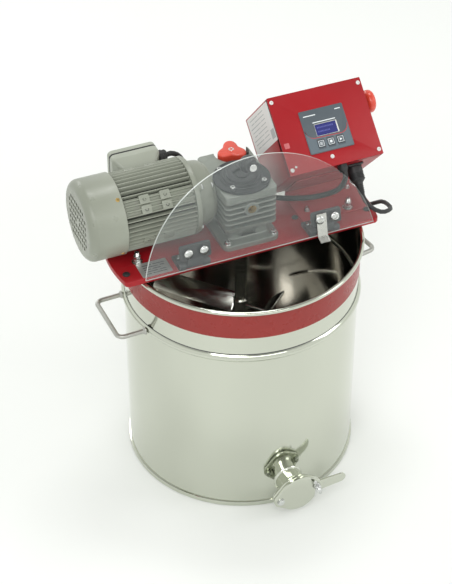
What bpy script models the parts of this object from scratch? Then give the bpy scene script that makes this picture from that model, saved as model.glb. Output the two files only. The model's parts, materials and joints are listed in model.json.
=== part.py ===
"""Honey creaming machine: a steel drum with a stirrer, a worm geared motor on a cross beam,
a clear hinged lid, a honey gate and a tilted control box.

Frame: the origin is the centre of the drum's underside, +Z is up, +X runs along the beam
towards the control box, and -Y is the front, where the honey gate points.
Lengths in this file are millimetres, and the functions that make a mesh turn them into metres.
"""
from math import asin, atan2, cos, hypot, pi, radians, sin, sqrt

import bmesh
import bpy
from mathutils import Matrix, Vector

MM = 0.001
GAP = 0.3                  # clearance between pieces that touch
ROUND_BIG = 40             # facets round the drum

# Drum
DRUM_R = 200.0
DRUM_WALL = 1.0
DRUM_H = 440.0
BEAD_Z = 340.0             # swaged ring round the wall
BEAD_OUT = 5.0
BEAD_HALF = 7.5
RIM_CURL_R = 3.8
BAND_LOW = 383.0
BAND_TOP = 430.5
BASE_BAND_H = 9.0
BASE_SEAM = 2.8
HANDLE_ROD_R = 4.0
HANDLE_REACH = 246.0       # drum axis to the middle of the grip
HANDLE_HALF = 52.0
HANDLE_LEFT_ANGLE = 181.5
HANDLE_RIGHT_ANGLE = 10.0

# Honey gate
GATE_Z = 49.0
GATE_TURN = 1.2            # degrees from -Y towards +X
GATE_PIPE_R = 24.0
GATE_BORE_R = 22.0
GATE_FLANGE_OUT = 228.0    # distances of the near faces from the drum's axis
GATE_FLANGE_T = 6.0
GATE_PLATE_OUT = 236.0
GATE_PLATE_T = 6.0
GATE_BOLT = (34.0, 6.0)    # clamp bolt from the gate's axis; the pivot bolt is opposite
WING_TILT = -62.0

# Beam
BEAM_TOP = 450.0
BEAM_LOW = DRUM_H + GAP
BEAM_SHEET = 2.5
BEAM_HALF_Y = 59.0
BEAM_END_R = 234.0
STUD_X = 191.0
STUD_Y = -13.0

# Front lid, open, and its hinges
LID_R = 208.0
LID_DEPTH = 167.0
LID_T = 4.0
LID_X = 3.5
LID_TILT = 76.0            # from the horizontal, leaning back
HINGE_Y = -62.0
HINGE_Z = 457.8
HINGE_TO_LID = 17.0        # hinge axis to the lid's inner face
HINGE_X = (-110.0, 123.5)
LID_KNOB_X = 1.5
LID_KNOB_UP = 146.0

# Geared motor
MOTOR_Y = 38.0
MOTOR_Z = 520.0
GEAR_X = 46.0
GEAR_FRONT = -44.0
GEAR_BACK = 84.0
GEAR_LOW = 484.0
GEAR_TOP = 556.0
FRAME_R = 66.0
FRAME_CORE_R = 55.0
FRAME_X = (-208.0, -88.0)
COWL_R = 69.0
COWL_X = (-272.0, -209.0)
STAR_X = 14.0
STAR_Y = 76.0
STAR_POCKET = 14.0

# Stirrer
SHAFT_R = 10.5
BLADE_ANGLE = -48.5
BLADE_LEVELS = (("upper", 290.0, 0.0), ("middle", 190.0, 90.0), ("lower", 62.0, 0.0))
BLADE_REACH = 165.0
BLADE_W = 36.0
BLADE_T = 3.0
BLADE_PITCH = -45.0

# Control box, tilted about X
BOX_TILT = 42.0
BOX_X = (76.5, 247.0)
BOX_FRONT_LOW = (-26.0, 555.0)   # y, z of the panel's lower edge
BOX_SLOPE = 136.0
BOX_DEPTH = 126.0
BOX_SHEET = 1.5
PANEL_T = 1.5

# Mains cord
CORD_R = 3.75
COIL_AT = (60.0, 300.0)
COIL_MEAN_R = 41.0


def clear_objects():
    for ob in list(bpy.data.objects):
        bpy.data.objects.remove(ob, do_unlink=True)


def material(name, colour, roughness, metallic):
    mat = bpy.data.materials.new(name)
    mat.use_nodes = True
    shader = mat.node_tree.nodes["Principled BSDF"]
    shader.inputs["Base Color"].default_value = (*colour, 1.0)
    shader.inputs["Roughness"].default_value = roughness
    shader.inputs["Metallic"].default_value = metallic
    return mat


def place(ob, mat, origin, smooth):
    bpy.context.scene.collection.objects.link(ob)
    ob.location = Vector(origin) * MM
    ob.data.materials.append(mat)
    if smooth:
        ob.data.shade_smooth()
        ob.data.set_sharp_from_angle(angle=radians(35.0))
    return ob


def mesh_object(name, bm, mat, origin=(0.0, 0.0, 0.0), smooth=True):
    """The mesh is in world millimetres; the object's origin is put at origin."""
    bmesh.ops.recalc_face_normals(bm, faces=bm.faces)
    for vert in bm.verts:
        vert.co = (vert.co - Vector(origin)) * MM
    mesh = bpy.data.meshes.new(name)
    bm.to_mesh(mesh)
    bm.free()
    return place(bpy.data.objects.new(name, mesh), mat, origin, smooth)


def lofted(name, loops, mat, closed=False, **options):
    """Bridge loops of equal length; the ends are capped unless the loft is a closed ring."""
    bm = bmesh.new()
    rings = [[bm.verts.new(Vector(point)) for point in loop] for loop in loops]
    pairs = list(zip(rings, rings[1:]))
    if closed:
        pairs.append((rings[-1], rings[0]))
    for low, high in pairs:
        for i in range(len(low)):
            j = (i + 1) % len(low)
            bm.faces.new((low[i], low[j], high[j], high[i]))
    if not closed:
        bm.faces.new(rings[0])
        bm.faces.new(rings[-1])
    return mesh_object(name, bm, mat, **options)


def axis_frame(axis):
    """Columns: two directions across the axis and the axis itself."""
    across = {"Z": ((1, 0, 0), (0, 1, 0), (0, 0, 1)),
              "X": ((0, 1, 0), (0, 0, 1), (1, 0, 0)),
              "Y": ((0, 0, 1), (1, 0, 0), (0, 1, 0))}
    return [Vector(column) for column in across[axis]]


def turned(name, profile, mat, axis="Z", at=(0.0, 0.0, 0.0), steps=32, turn=None, **options):
    """Revolve (radius, height) points. A profile that starts and ends at radius 0 is a solid."""
    u, v, w = turn if turn else axis_frame(axis)
    centre = Vector(at)
    bm = bmesh.new()
    rings = []
    for radius, height in profile:
        if radius == 0.0:
            rings.append([bm.verts.new(centre + w * height)])
            continue
        ring = []
        for k in range(steps):
            a = 2.0 * pi * k / steps
            ring.append(bm.verts.new(centre + (u * cos(a) + v * sin(a)) * radius + w * height))
        rings.append(ring)
    solid = len(rings[0]) == 1
    pairs = list(zip(rings, rings[1:]))
    if not solid:
        pairs.append((rings[-1], rings[0]))
    for low, high in pairs:
        for i in range(steps):
            j = (i + 1) % steps
            if len(low) == 1:
                bm.faces.new((low[0], high[j], high[i]))
            elif len(high) == 1:
                bm.faces.new((low[i], low[j], high[0]))
            else:
                bm.faces.new((low[i], low[j], high[j], high[i]))
    options.setdefault("origin", at)
    return mesh_object(name, bm, mat, **options)


def prism(name, outline, start, end, mat, frame=None, at=(0.0, 0.0, 0.0), **options):
    """Extrude an outline of (a, b) points along the frame's third axis."""
    u, v, w = frame if frame else axis_frame("Z")
    centre = Vector(at)
    loops = [[centre + u * a + v * b + w * h for a, b in outline] for h in (start, end)]
    return lofted(name, loops, mat, **options)


def block(name, low, high, mat, **options):
    outline = [(low[0], low[1]), (high[0], low[1]), (high[0], high[1]), (low[0], high[1])]
    options.setdefault("smooth", False)
    return prism(name, outline, low[2], high[2], mat, **options)


def arc(cx, cy, radius, start, end, count):
    points = []
    for k in range(count + 1):
        a = radians(start + (end - start) * k / count)
        points.append((cx + radius * cos(a), cy + radius * sin(a)))
    return points


def rounded(x0, y0, x1, y1, radius, count=3):
    """Corner-rounded rectangle outline, counter-clockwise."""
    return (arc(x1 - radius, y0 + radius, radius, -90, 0, count)
            + arc(x1 - radius, y1 - radius, radius, 0, 90, count)
            + arc(x0 + radius, y1 - radius, radius, 90, 180, count)
            + arc(x0 + radius, y0 + radius, radius, 180, 270, count))


def hull(circles, count=16):
    """Convex outline round some circles, counter-clockwise."""
    points = sorted({(round(cx + r * cos(2 * pi * k / count), 4), round(cy + r * sin(2 * pi * k / count), 4))
                     for cx, cy, r in circles for k in range(count)})

    def half(ordered):
        chain = []
        for p in ordered:
            while len(chain) > 1:
                (ax, ay), (bx, by) = chain[-2], chain[-1]
                if (bx - ax) * (p[1] - ay) - (by - ay) * (p[0] - ax) > 1e-6:
                    break
                chain.pop()
            chain.append(p)
        return chain[:-1]

    return half(points) + half(points[::-1])


def guide(ob):
    """Mark an object as a tool of another object's Boolean."""
    ob.hide_render = True
    ob.display_type = "WIRE"
    return ob


def boolean(ob, tool, operation="DIFFERENCE"):
    modifier = ob.modifiers.new(operation.title(), "BOOLEAN")
    modifier.operation = operation
    modifier.solver = "EXACT"
    modifier.object = guide(tool)
    return ob


def tube(name, points, radius, mat, resolution=2):
    curve = bpy.data.curves.new(name, "CURVE")
    curve.dimensions = "3D"
    curve.bevel_depth = radius * MM
    curve.bevel_resolution = resolution
    curve.use_fill_caps = True
    spline = curve.splines.new("POLY")
    spline.points.add(len(points) - 1)
    for target, point in zip(spline.points, points):
        target.co = (*(Vector(point) * MM), 1.0)
    ob = bpy.data.objects.new(name, curve)
    bpy.context.scene.collection.objects.link(ob)
    curve.materials.append(mat)
    return ob


def smooth_route(points, step):
    """Points about one step apart on a Catmull-Rom curve through the given points.

    The first and last runs are straight along the route's own ends."""
    path = [Vector(p) for p in points]
    path = [path[0] * 2 - path[1]] + path + [path[-1] * 2 - path[-2]]
    fine = []
    for a, b, c, d in zip(path, path[1:], path[2:], path[3:]):
        for k in range(16):
            t = k / 16.0
            fine.append(0.5 * (2 * b + (c - a) * t + (2 * a - 5 * b + 4 * c - d) * t * t
                               + (3 * b - a - 3 * c + d) * t ** 3))
    fine.append(path[-2])
    length = sum((q - p).length for p, q in zip(fine, fine[1:]))
    count = max(2, round(length / step))
    out = [fine[0]]
    walked = 0.0
    for p, q in zip(fine, fine[1:]):
        piece = (q - p).length
        while len(out) < count and walked + piece >= length * len(out) / count:
            out.append(p.lerp(q, (length * len(out) / count - walked) / piece))
        walked += piece
    out.append(fine[-1])
    first = (path[2] - path[1]).normalized()
    last = (path[-2] - path[-3]).normalized()
    out[1] = out[0] + first * (out[1] - out[0]).length
    out[-2] = out[-1] - last * (out[-1] - out[-2]).length
    return out


def make_materials():
    kinds = {
        "polished_steel": ((0.72, 0.73, 0.68), 0.12, 1.0),
        "brushed_steel": ((0.62, 0.63, 0.60), 0.35, 1.0),
        "zinc_steel": ((0.70, 0.71, 0.70), 0.28, 1.0),
        "red_paint": ((0.43, 0.02, 0.03), 0.35, 0.0),
        "red_vinyl": ((0.42, 0.05, 0.04), 0.45, 0.0),
        "clear_acrylic": ((0.85, 0.88, 0.88), 0.05, 0.0),
        "motor_grey": ((0.50, 0.52, 0.46), 0.45, 0.0),
        "cast_aluminium": ((0.42, 0.44, 0.42), 0.45, 0.6),
        "dark_plastic": ((0.06, 0.065, 0.07), 0.5, 0.0),
        "black_rubber": ((0.015, 0.015, 0.016), 0.6, 0.0),
        "bronze": ((0.55, 0.36, 0.15), 0.35, 1.0),
        "copper": ((0.60, 0.28, 0.15), 0.4, 1.0),
        "overlay_grey": ((0.13, 0.15, 0.18), 0.4, 0.0),
        "signal_red": ((0.72, 0.09, 0.05), 0.35, 0.0),
        "white_rubber": ((0.75, 0.75, 0.72), 0.5, 0.0),
    }
    return {name: material(name, *values) for name, values in kinds.items()}


def drum(mats):
    inner = DRUM_R - DRUM_WALL
    curl_z = DRUM_H - RIM_CURL_R
    curl_r = inner + RIM_CURL_R

    def bead(radius, upwards):
        steps = range(5) if upwards else range(4, -1, -1)
        return [(radius + BEAD_OUT * sin(pi * k / 4.0), BEAD_Z - BEAD_HALF + BEAD_HALF * k / 2.0)
                for k in steps]

    seam = DRUM_R + BASE_SEAM
    profile = [(seam - 0.5, 0), (seam, 1), (seam, BASE_BAND_H - 1), (seam - 0.8, BASE_BAND_H),
               (DRUM_R, BASE_BAND_H)] + bead(DRUM_R, True)
    profile += arc(curl_r, curl_z, RIM_CURL_R, -135, 180, 5)
    profile += bead(inner, False) + [(inner, 0)]
    shell = turned("drum_shell", profile, mats["polished_steel"], steps=ROUND_BIG)
    outlet = turned("cut_outlet", [(0, DRUM_R - 30), (GATE_BORE_R, DRUM_R - 30), (GATE_BORE_R, DRUM_R + 20),
                                   (0, DRUM_R + 20)],
                    mats["polished_steel"], turn=gate_frame(), at=gate_point(0, 0, 0), steps=32)
    boolean(shell, outlet)
    fit = inner - GAP
    turned("drum_bottom", [(0, 0), (fit - 2, 0), (fit, 2), (fit, 9), (fit - 1.2, 9), (fit - 1.2, 1.2),
                           (0, 1.2)], mats["polished_steel"], steps=ROUND_BIG)
    face = DRUM_R + 2 * GAP
    turned("red_band", [(face, BAND_LOW), (face + 0.5, BAND_LOW), (face + 0.5, BAND_TOP), (face, BAND_TOP)],
           mats["red_vinyl"], steps=ROUND_BIG)
    for side, angle in (("left", HANDLE_LEFT_ANGLE), ("right", HANDLE_RIGHT_ANGLE)):
        drum_handle(side, angle, mats)
    for side, sign in (("left", -1), ("right", 1)):
        ends = sorted((sign * (STUD_X - 8), sign * (inner - 1.1)))
        lug = block(f"join_lug_{side}", (ends[0], STUD_Y - 11, 429), (ends[1], STUD_Y + 11, 432),
                    mats["brushed_steel"])
        boolean(shell, lug, "UNION")
        boolean(shell, turned(f"cut_lug_{side}", [(0, 420), (4.4, 420), (4.4, 438), (0, 438)],
                              mats["brushed_steel"], at=(sign * STUD_X, STUD_Y, 0), steps=16))


def drum_handle(side, angle, mats):
    out = Vector((cos(radians(angle)), sin(radians(angle)), 0.0))
    across = Vector((-out.y, out.x, 0.0))
    wall = sqrt((DRUM_R + BEAD_OUT) ** 2 - HANDLE_HALF ** 2) + 1.0 + HANDLE_ROD_R * 0.3
    bend = 11.0
    flat = [(wall, -HANDLE_HALF)]
    flat += arc(HANDLE_REACH - bend, -HANDLE_HALF + bend, bend, -90, 0, 4)
    flat += arc(HANDLE_REACH - bend, HANDLE_HALF - bend, bend, 0, 90, 4)
    flat += [(wall, HANDLE_HALF)]
    points = [out * a + across * b + Vector((0, 0, BEAD_Z)) for a, b in flat]
    tube(f"handle_{side}", points, HANDLE_ROD_R, mats["brushed_steel"])


def gate_frame():
    """Right, up and outward axes of the honey gate."""
    a = radians(GATE_TURN)
    return [Vector((cos(a), sin(a), 0)), Vector((0, 0, 1)), Vector((sin(a), -cos(a), 0))]


def gate_point(right, up, out):
    frame = gate_frame()
    return tuple(frame[0] * right + frame[1] * (GATE_Z + up) + frame[2] * out)


def gate_outline(disc, ear):
    bx, bz = GATE_BOLT
    return hull([(0, 0, disc), (bx, bz, ear), (-bx, -bz, ear)])


def honey_gate(mats):
    """Outlines are (right, up) pairs round the gate's axis."""
    front = gate_frame()
    centre = gate_point(0, 0, 0)
    bx, bz = GATE_BOLT
    steel = mats["polished_steel"]
    flange_out = GATE_FLANGE_OUT + GATE_FLANGE_T
    plate_out = GATE_PLATE_OUT + GATE_PLATE_T
    wall = DRUM_R + 0.6
    swell = GATE_FLANGE_OUT - 10
    spout = turned("gate_spout", [(GATE_BORE_R, wall), (GATE_PIPE_R + 3, wall), (GATE_PIPE_R + 3, wall + 2),
                                  (GATE_PIPE_R, wall + 3.5), (GATE_PIPE_R, swell),
                                  (GATE_PIPE_R + 3, swell + 12), (GATE_BORE_R, swell + 12)],
                   steel, turn=front, at=centre, steps=24)
    flange = prism("join_flange", gate_outline(33, 10), GATE_FLANGE_OUT, flange_out, steel,
                   frame=front, at=centre)
    boolean(spout, flange, "UNION")
    bore = turned("cut_bore", [(0, DRUM_R - 10), (GATE_BORE_R, DRUM_R - 10), (GATE_BORE_R, plate_out),
                               (0, plate_out)], steel, turn=front, at=centre, steps=24)
    boolean(spout, bore)
    holes = []
    for tag, sign in (("pivot", -1), ("clamp", 1)):
        holes.append(turned(f"cut_{tag}", [(0, swell), (3.4, swell), (3.4, plate_out + 20), (0, plate_out + 20)],
                            steel, turn=front, at=gate_point(sign * bx, sign * bz, 0), steps=12))
        boolean(spout, holes[-1])
    turned("gate_seal", [(24, flange_out + GAP), (28, flange_out + GAP), (28, GATE_PLATE_OUT - GAP),
                         (24, GATE_PLATE_OUT - GAP)], mats["black_rubber"], turn=front, at=centre, steps=20)

    plate = prism("gate_plate", gate_outline(35.5, 11), GATE_PLATE_OUT, plate_out, steel,
                  frame=front, at=centre, origin=gate_point(-bx, -bz, GATE_PLATE_OUT))
    lever = prism("join_lever", hull([(36, 2.5, 11.5), (81.5, 4.5, 9.3)]), GATE_PLATE_OUT + 2,
                  plate_out - 1.5, steel, frame=front, at=centre)
    boolean(plate, lever, "UNION")
    boolean(plate, holes[0])
    reach = 2 * hypot(bx, bz)
    start = atan2(bz, bx) * 180 / pi
    notch = arc(-bx, -bz, reach + 3.8, start - 32, start, 6)
    notch += arc(bx, bz, 3.8, start, start + 180, 8)[1:-1]
    notch += arc(-bx, -bz, reach - 3.8, start, start - 32, 6)
    boolean(plate, prism("cut_notch", notch, swell, plate_out + 20, steel, frame=front, at=centre))

    back = GATE_FLANGE_OUT - 0.4
    top = plate_out + GAP
    for tag, sign in (("pivot", -1), ("clamp", 1)):
        profile = [(0, back - 5.6), (5.8, back - 5.6), (5.8, back), (3.0, back), (3.0, top)]
        if sign < 0:
            profile += [(6.5, top), (6.5, top + 3.5), (0, top + 3.5)]
        else:
            profile += [(3.0, top + 15), (0, top + 15)]
        turned(f"gate_{tag}_bolt", profile, mats["zinc_steel"], turn=front,
               at=gate_point(sign * bx, sign * bz, 0), steps=12)
    nut = turned("gate_wing_nut", [(3.3, top), (8.5, top), (6.5, top + 9), (3.3, top + 9)],
                 mats["zinc_steel"], turn=front, at=gate_point(bx, bz, 0), steps=20,
                 origin=gate_point(bx, bz, top))
    wings = [(-20, 3), (-17, 6), (-6, 3), (-6, -3), (-15, -2)]
    tilt = radians(WING_TILT)
    for tag, sign in (("a", 1), ("b", -1)):
        shape = [(bx + sign * (a * cos(tilt) - b * sin(tilt)), bz + sign * (a * sin(tilt) + b * cos(tilt)))
                 for a, b in wings]
        boolean(nut, prism(f"join_wing_{tag}", shape, top + 3, top + 6, mats["zinc_steel"],
                           frame=front, at=centre), "UNION")


def beam_outline(inset):
    half = BEAM_HALF_Y - inset
    radius = BEAM_END_R - inset
    swing = asin(half / radius) * 180 / pi
    corner = 4.0
    trim = corner / radius * 180 / pi
    right = arc(0, 0, radius, -swing + trim, swing - trim, 5)
    left = arc(0, 0, radius, 180 - swing + trim, 180 + swing - trim, 5)
    edge = sqrt(radius ** 2 - half ** 2) - corner
    return ([(edge, -half)] + right + [(edge, half), (-edge, half)] + left + [(-edge, -half)])


def beam(mats):
    inside = [Vector((*p, 0)) for p in beam_outline(BEAM_SHEET)]
    outside = [Vector((*p, 0)) for p in beam_outline(0.0)]
    levels = ((inside, BEAM_TOP - BEAM_SHEET), (inside, BEAM_LOW), (outside, BEAM_LOW),
              (outside, BEAM_TOP))
    loops = [[p + Vector((0, 0, z)) for p in loop] for loop, z in levels]
    body = lofted("beam", loops, mats["red_paint"], smooth=False)
    holes = [("shaft", 0, 0, 17.0)] + [(side, x, STUD_Y, 4.4) for side, x in (("l", -STUD_X), ("r", STUD_X))]
    for tag, x, y, radius in holes:
        boolean(body, turned(f"cut_beam_{tag}", [(0, 420), (radius, 420), (radius, 470), (0, 470)],
                             mats["red_paint"], at=(x, y, 0), steps=16))
    for side, x in (("left", -STUD_X), ("right", STUD_X)):
        turned(f"beam_stud_{side}",
               [(0, 423), (6.5, 423), (6.5, 428.6), (4.0, 428.6), (4.0, 450.3), (9.0, 450.3), (9.0, 452),
                (7.0, 452), (7.0, 464), (4.0, 464), (4.0, 471), (0, 471)],
               mats["zinc_steel"], at=(x, STUD_Y, 0), steps=12)
    rear = arc(0, 0, 205.0, asin(61.0 / 205.0) * 180 / pi, 180 - asin(61.0 / 205.0) * 180 / pi, 24)
    prism("rear_cover", rear, DRUM_H + GAP, DRUM_H + GAP + 1.2, mats["brushed_steel"], smooth=False)


def lid_frame():
    """Across, up the open lid, and out of its inner face towards the front."""
    up = Vector((0, cos(radians(LID_TILT)), sin(radians(LID_TILT))))
    return [Vector((1, 0, 0)), up, Vector((1, 0, 0)).cross(up)]


def lid_point(x, v, out):
    """A point v up the open lid and out in front of the hinge axis plane."""
    across, up, normal = lid_frame()
    return Vector((x, HINGE_Y, HINGE_Z)) + up * v + normal * out


def front_lid(mats):
    across, up, normal = lid_frame()
    pivot = (LID_X, HINGE_Y, HINGE_Z)
    inner = HINGE_TO_LID
    centre_v = LID_DEPTH - LID_R
    start = asin(-centre_v / LID_R) * 180 / pi
    outline = arc(0, centre_v - 1.0, LID_R, start, 180 - start, 28)
    lid = prism("front_lid", outline, inner - LID_T, inner, mats["clear_acrylic"], frame=lid_frame(),
                at=(LID_X, HINGE_Y, HINGE_Z), origin=pivot)
    back = inner - LID_T - GAP
    foot = lid_point(LID_KNOB_X, LID_KNOB_UP, 0)
    boolean(lid, turned("cut_lid_knob", [(0, -40), (3.3, -40), (3.3, 40), (0, 40)], mats["clear_acrylic"],
                        turn=[across, up, normal], at=foot, steps=16))
    turned("lid_knob", [(0, back - 27), (10, back - 27), (14.5, back - 23), (15, back - 18), (12, back - 12),
                        (9, back - 6), (11, back), (3, back), (3, inner + 0.9), (0, inner + 0.9)],
           mats["dark_plastic"], turn=[across, up, normal], at=foot, steps=20)
    for side, x in zip(("left", "right"), HINGE_X):
        hinge(side, x, mats)
    switch(mats)


def hinge(side, x, mats):
    """Plastic leaves on the beam and on the lid's outer face, round a fixed pin.

    The knuckle of the lid leaf is at the middle and turns on the pin of the beam leaf."""
    across, up, normal = lid_frame()
    half = 27.0
    knuckle = 5.2
    pin = 2.2
    back = HINGE_TO_LID - LID_T - GAP
    axis = [Vector((0, 1, 0)), Vector((0, 0, 1)), Vector((1, 0, 0))]
    pivot = (x, HINGE_Y, HINGE_Z)
    dark = mats["dark_plastic"]
    foot = BEAM_TOP + GAP - HINGE_Z
    base = prism(f"hinge_{side}_base", [(-2.0, foot), (34.0, foot), (34.0, 0.0), (8.0, 3.0), (-2.0, 3.0)],
                 -half, half, dark, frame=axis, at=pivot, smooth=False)
    boolean(base, block(f"cut_base_{side}", (x - 14.5, HINGE_Y - 20, HINGE_Z - 20),
                        (x + 14.5, HINGE_Y + 7.5, HINGE_Z + 20), dark))
    boolean(base, turned(f"join_pin_{side}", [(0, -half), (knuckle, -half), (knuckle, -14.5), (pin, -14.5),
                                              (pin, 14.5), (knuckle, 14.5), (knuckle, half), (0, half)],
                         dark, turn=axis, at=pivot, steps=20), "UNION")
    leaf = prism(f"hinge_{side}_leaf", rounded(-half, 13.5, half, 40, 4), back - 5.0, back, dark,
                 frame=lid_frame(), at=pivot, origin=pivot, smooth=False)
    boolean(leaf, prism(f"join_neck_{side}", [(-13.7, -2), (13.7, -2), (13.7, 16), (-13.7, 16)],
                        2.5, back, dark, frame=lid_frame(), at=pivot, smooth=False), "UNION")
    boolean(leaf, turned(f"join_knuckle_{side}", [(0, -13.8), (knuckle, -13.8), (knuckle, 13.8), (0, 13.8)],
                         dark, turn=axis, at=pivot, steps=20), "UNION")
    boolean(leaf, turned(f"cut_knuckle_{side}", [(0, -20), (pin + GAP, -20), (pin + GAP, 20), (0, 20)], dark,
                         turn=axis, at=pivot, steps=20))


def switch(mats):
    """Safety switch under the beam's edge and the bent tab on the lid that works it."""
    tab_x = HINGE_X[1] - 11.0
    face = HINGE_TO_LID + GAP
    across, up, normal = lid_frame()
    profile = [(38, face), (38, face + 1.5), (-1.5, face + 1.5), (-9, face + 12), (-10.3, face + 11.2),
               (-2.3, face)]
    frame = [up, normal, across]
    prism("lid_switch_tab", profile, -9.0, 9.0, mats["brushed_steel"], frame=frame,
          at=(tab_x, HINGE_Y, HINGE_Z), origin=(tab_x, HINGE_Y, HINGE_Z), smooth=False)
    block("lid_switch", (tab_x - 16, -BEAM_HALF_Y + BEAM_SHEET + 3.5, 435),
          (tab_x + 16, -BEAM_HALF_Y + BEAM_SHEET + 19, BEAM_TOP - BEAM_SHEET - GAP), mats["black_rubber"])


def ring_at(outline, z):
    return [Vector((a, b, z)) for a, b in outline]


def gearbox(mats):
    cast = mats["cast_aluminium"]
    foot_levels = ((50, 48, 450.3, 12), (50, 48, 460, 12), (46, 44, 462.5, 14), (40, 39, 470, 16),
                   (38, 37, GEAR_LOW - GAP, 16))
    foot = lofted("gearbox_foot", [ring_at(rounded(-a, -b, a, b, r), z) for a, b, z, r in foot_levels], cast)
    bore = turned("cut_foot", [(0, 430), (16, 430), (16, 500), (0, 500)], cast, steps=24)
    boolean(foot, bore)

    levels = []
    fins = 5
    fin_low = GEAR_LOW + 14
    pitch = 9.0
    for k in range(fins):
        z = fin_low + k * pitch
        levels += [(4.0, z), (0.0, z + 1.2), (0.0, z + 3.6), (4.0, z + 4.8)]
    levels = [(3.0, GEAR_LOW), (0.0, GEAR_LOW + 2.5), (0.0, GEAR_LOW + 8)] + levels
    levels += [(0.0, GEAR_TOP - 9), (0.0, GEAR_TOP)]
    loops = [ring_at(rounded(-GEAR_X + s, GEAR_FRONT + s, GEAR_X - s, GEAR_BACK - s, 7, 1), z)
             for s, z in levels]
    housing = lofted("gearbox_housing", loops, cast)
    chamber = turned("cut_chamber", [(0, 470), (16, 470), (16, 490), (27, 490), (27, 503), (33, 503), (33, 537),
                                     (27, 537), (27, 560), (0, 560)], cast, steps=32)
    boolean(housing, chamber)
    worm_room = turned("cut_worm", [(0, -60), (20, -60), (20, -30), (14, -30), (14, 30), (16, 30), (16, 42),
                                    (0, 42)], cast, axis="X", at=(0, MOTOR_Y, MOTOR_Z), steps=24)
    boolean(housing, worm_room)
    cap_z = GEAR_TOP + GAP
    turned("gearbox_cap", [(0, cap_z + 10), (22, cap_z + 10), (26, cap_z + 6),
                           (36, cap_z + 5), (47.5, cap_z + 4), (47.5, cap_z),
                           (24, cap_z), (24, cap_z + 3), (0, cap_z + 3)], mats["dark_plastic"], steps=28)

    turned("worm_wheel", [(9.3, 508), (15, 508), (15, 512), (27, 512), (25.8, 520), (27, 528),
                          (15, 528), (15, 532), (9.3, 532)], mats["bronze"], steps=24)
    turned("output_bearing", [(9.3, 490.3), (26.7, 490.3), (26.7, 502.3), (9.3, 502.3)],
           mats["brushed_steel"], steps=24)
    spin = (0, MOTOR_Y, MOTOR_Z)
    ridge = []
    for k in range(3):
        x = -8 + k * 8
        ridge += [(7.5, x - 2.6), (9.8, x - 0.8), (9.8, x + 0.8), (7.5, x + 2.6)]
    turned("worm", [(0, -58), (7, -58), (7, -12)] + ridge + [(7, 12), (7, 40), (0, 40)],
           mats["zinc_steel"], axis="X", at=spin, steps=14)
    deck = GEAR_TOP - STAR_POCKET
    boolean(housing, turned("cut_pocket", [(0, deck), (30, deck), (30, GEAR_TOP + 10), (0, GEAR_TOP + 10)], cast,
                            at=(STAR_X, STAR_Y, 0), steps=28))
    stud_top = deck + GAP
    lobes = []
    for k in range(24):
        a = 2 * pi * k / 24
        radius = 21.5 + 5.5 * cos(3 * (a - radians(75)))
        lobes.append((STAR_X + radius * cos(a), STAR_Y + radius * sin(a)))
    knob = prism("star_knob", lobes, stud_top + 5, stud_top + 20, mats["signal_red"],
                 origin=(STAR_X, STAR_Y, stud_top))
    boolean(knob, turned("join_star_stud", [(0, stud_top), (8, stud_top), (8, stud_top + 8), (0, stud_top + 8)],
                         mats["zinc_steel"], at=(STAR_X, STAR_Y, 0), steps=12), "UNION")


def motor(mats):
    spin = (0, MOTOR_Y, MOTOR_Z)
    paint = mats["motor_grey"]
    x0, x1 = FRAME_X
    fins = 24
    outer = []
    inner = []
    for k in range(fins):
        for part, radius in ((0.0, FRAME_CORE_R), (0.42, FRAME_CORE_R), (0.52, FRAME_R), (0.9, FRAME_R)):
            a = 2 * pi * (k + part) / fins
            outer.append((radius * cos(a), radius * sin(a)))
            inner.append((48.0 * cos(a), 48.0 * sin(a)))
    loops = [[Vector((x, MOTOR_Y + a, MOTOR_Z + b)) for a, b in ring]
             for ring, x in ((outer, x0 + GAP), (outer, x1 - GAP), (inner, x1 - GAP), (inner, x0 + GAP))]
    lofted("motor_frame", loops, paint, closed=True, smooth=False)
    turned("drive_end_shield", [(21, x1), (62, x1), (66, x1 + 4), (66, x1 + 8), (56, x1 + 18),
                                (54, -58), (44, -GEAR_X - GAP), (21, -GEAR_X - GAP)],
           paint, axis="X", at=spin, steps=24)
    turned("fan_end_shield", [(9, x0 - 9), (60, x0 - 9), (64, x0 - 5), (64, x0), (9, x0)], paint, axis="X",
           at=spin, steps=24)
    turned("stator_core", [(30, -195), (47.6, -195), (47.6, -103), (30, -103)], mats["copper"], axis="X",
           at=spin, steps=20)
    turned("rotor", [(0, -252), (7, -252), (7, -190), (29, -190), (29, -108), (7, -108), (7, -58.6), (0, -58.6)],
           mats["brushed_steel"], axis="X", at=spin, steps=24)
    blades = []
    count = 8
    for k in range(count):
        for part, radius in ((0.0, 20.0), (0.6, 20.0), (0.68, 56.0), (0.92, 56.0)):
            a = 2 * pi * (k + part) / count
            blades.append((radius * cos(a), radius * sin(a)))
    hub = [(7.3 * cos(2 * pi * k / len(blades)), 7.3 * sin(2 * pi * k / len(blades)))
           for k in range(len(blades))]
    loops = [[Vector((x, MOTOR_Y + a, MOTOR_Z + b)) for a, b in ring]
             for ring, x in ((blades, -248), (blades, -228), (hub, -228), (hub, -248))]
    lofted("cooling_fan", loops, mats["dark_plastic"], closed=True, smooth=False, origin=spin)

    c0, c1 = COWL_X
    sheet = 1.2
    outside = [(COWL_R, c1)] + [(a, b) for b, a in arc(c0 + 14, COWL_R - 14, 14, 90, 180, 3)] + [(0, c0)]
    inside = [(0, c0 + sheet)] + [(a, b) for b, a in arc(c0 + 14, COWL_R - 14, 14 - sheet, 180, 90, 3)]
    inside += [(COWL_R - sheet, c1)]
    cowl = open_cup("fan_cowl", inside[::-1] + outside[::-1], paint, spin)
    bm_slots = slots_mesh(c0)
    tool = mesh_object("cut_slots", bm_slots, paint, smooth=False)
    boolean(cowl, tool)
    terminal_box(mats)


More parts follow.
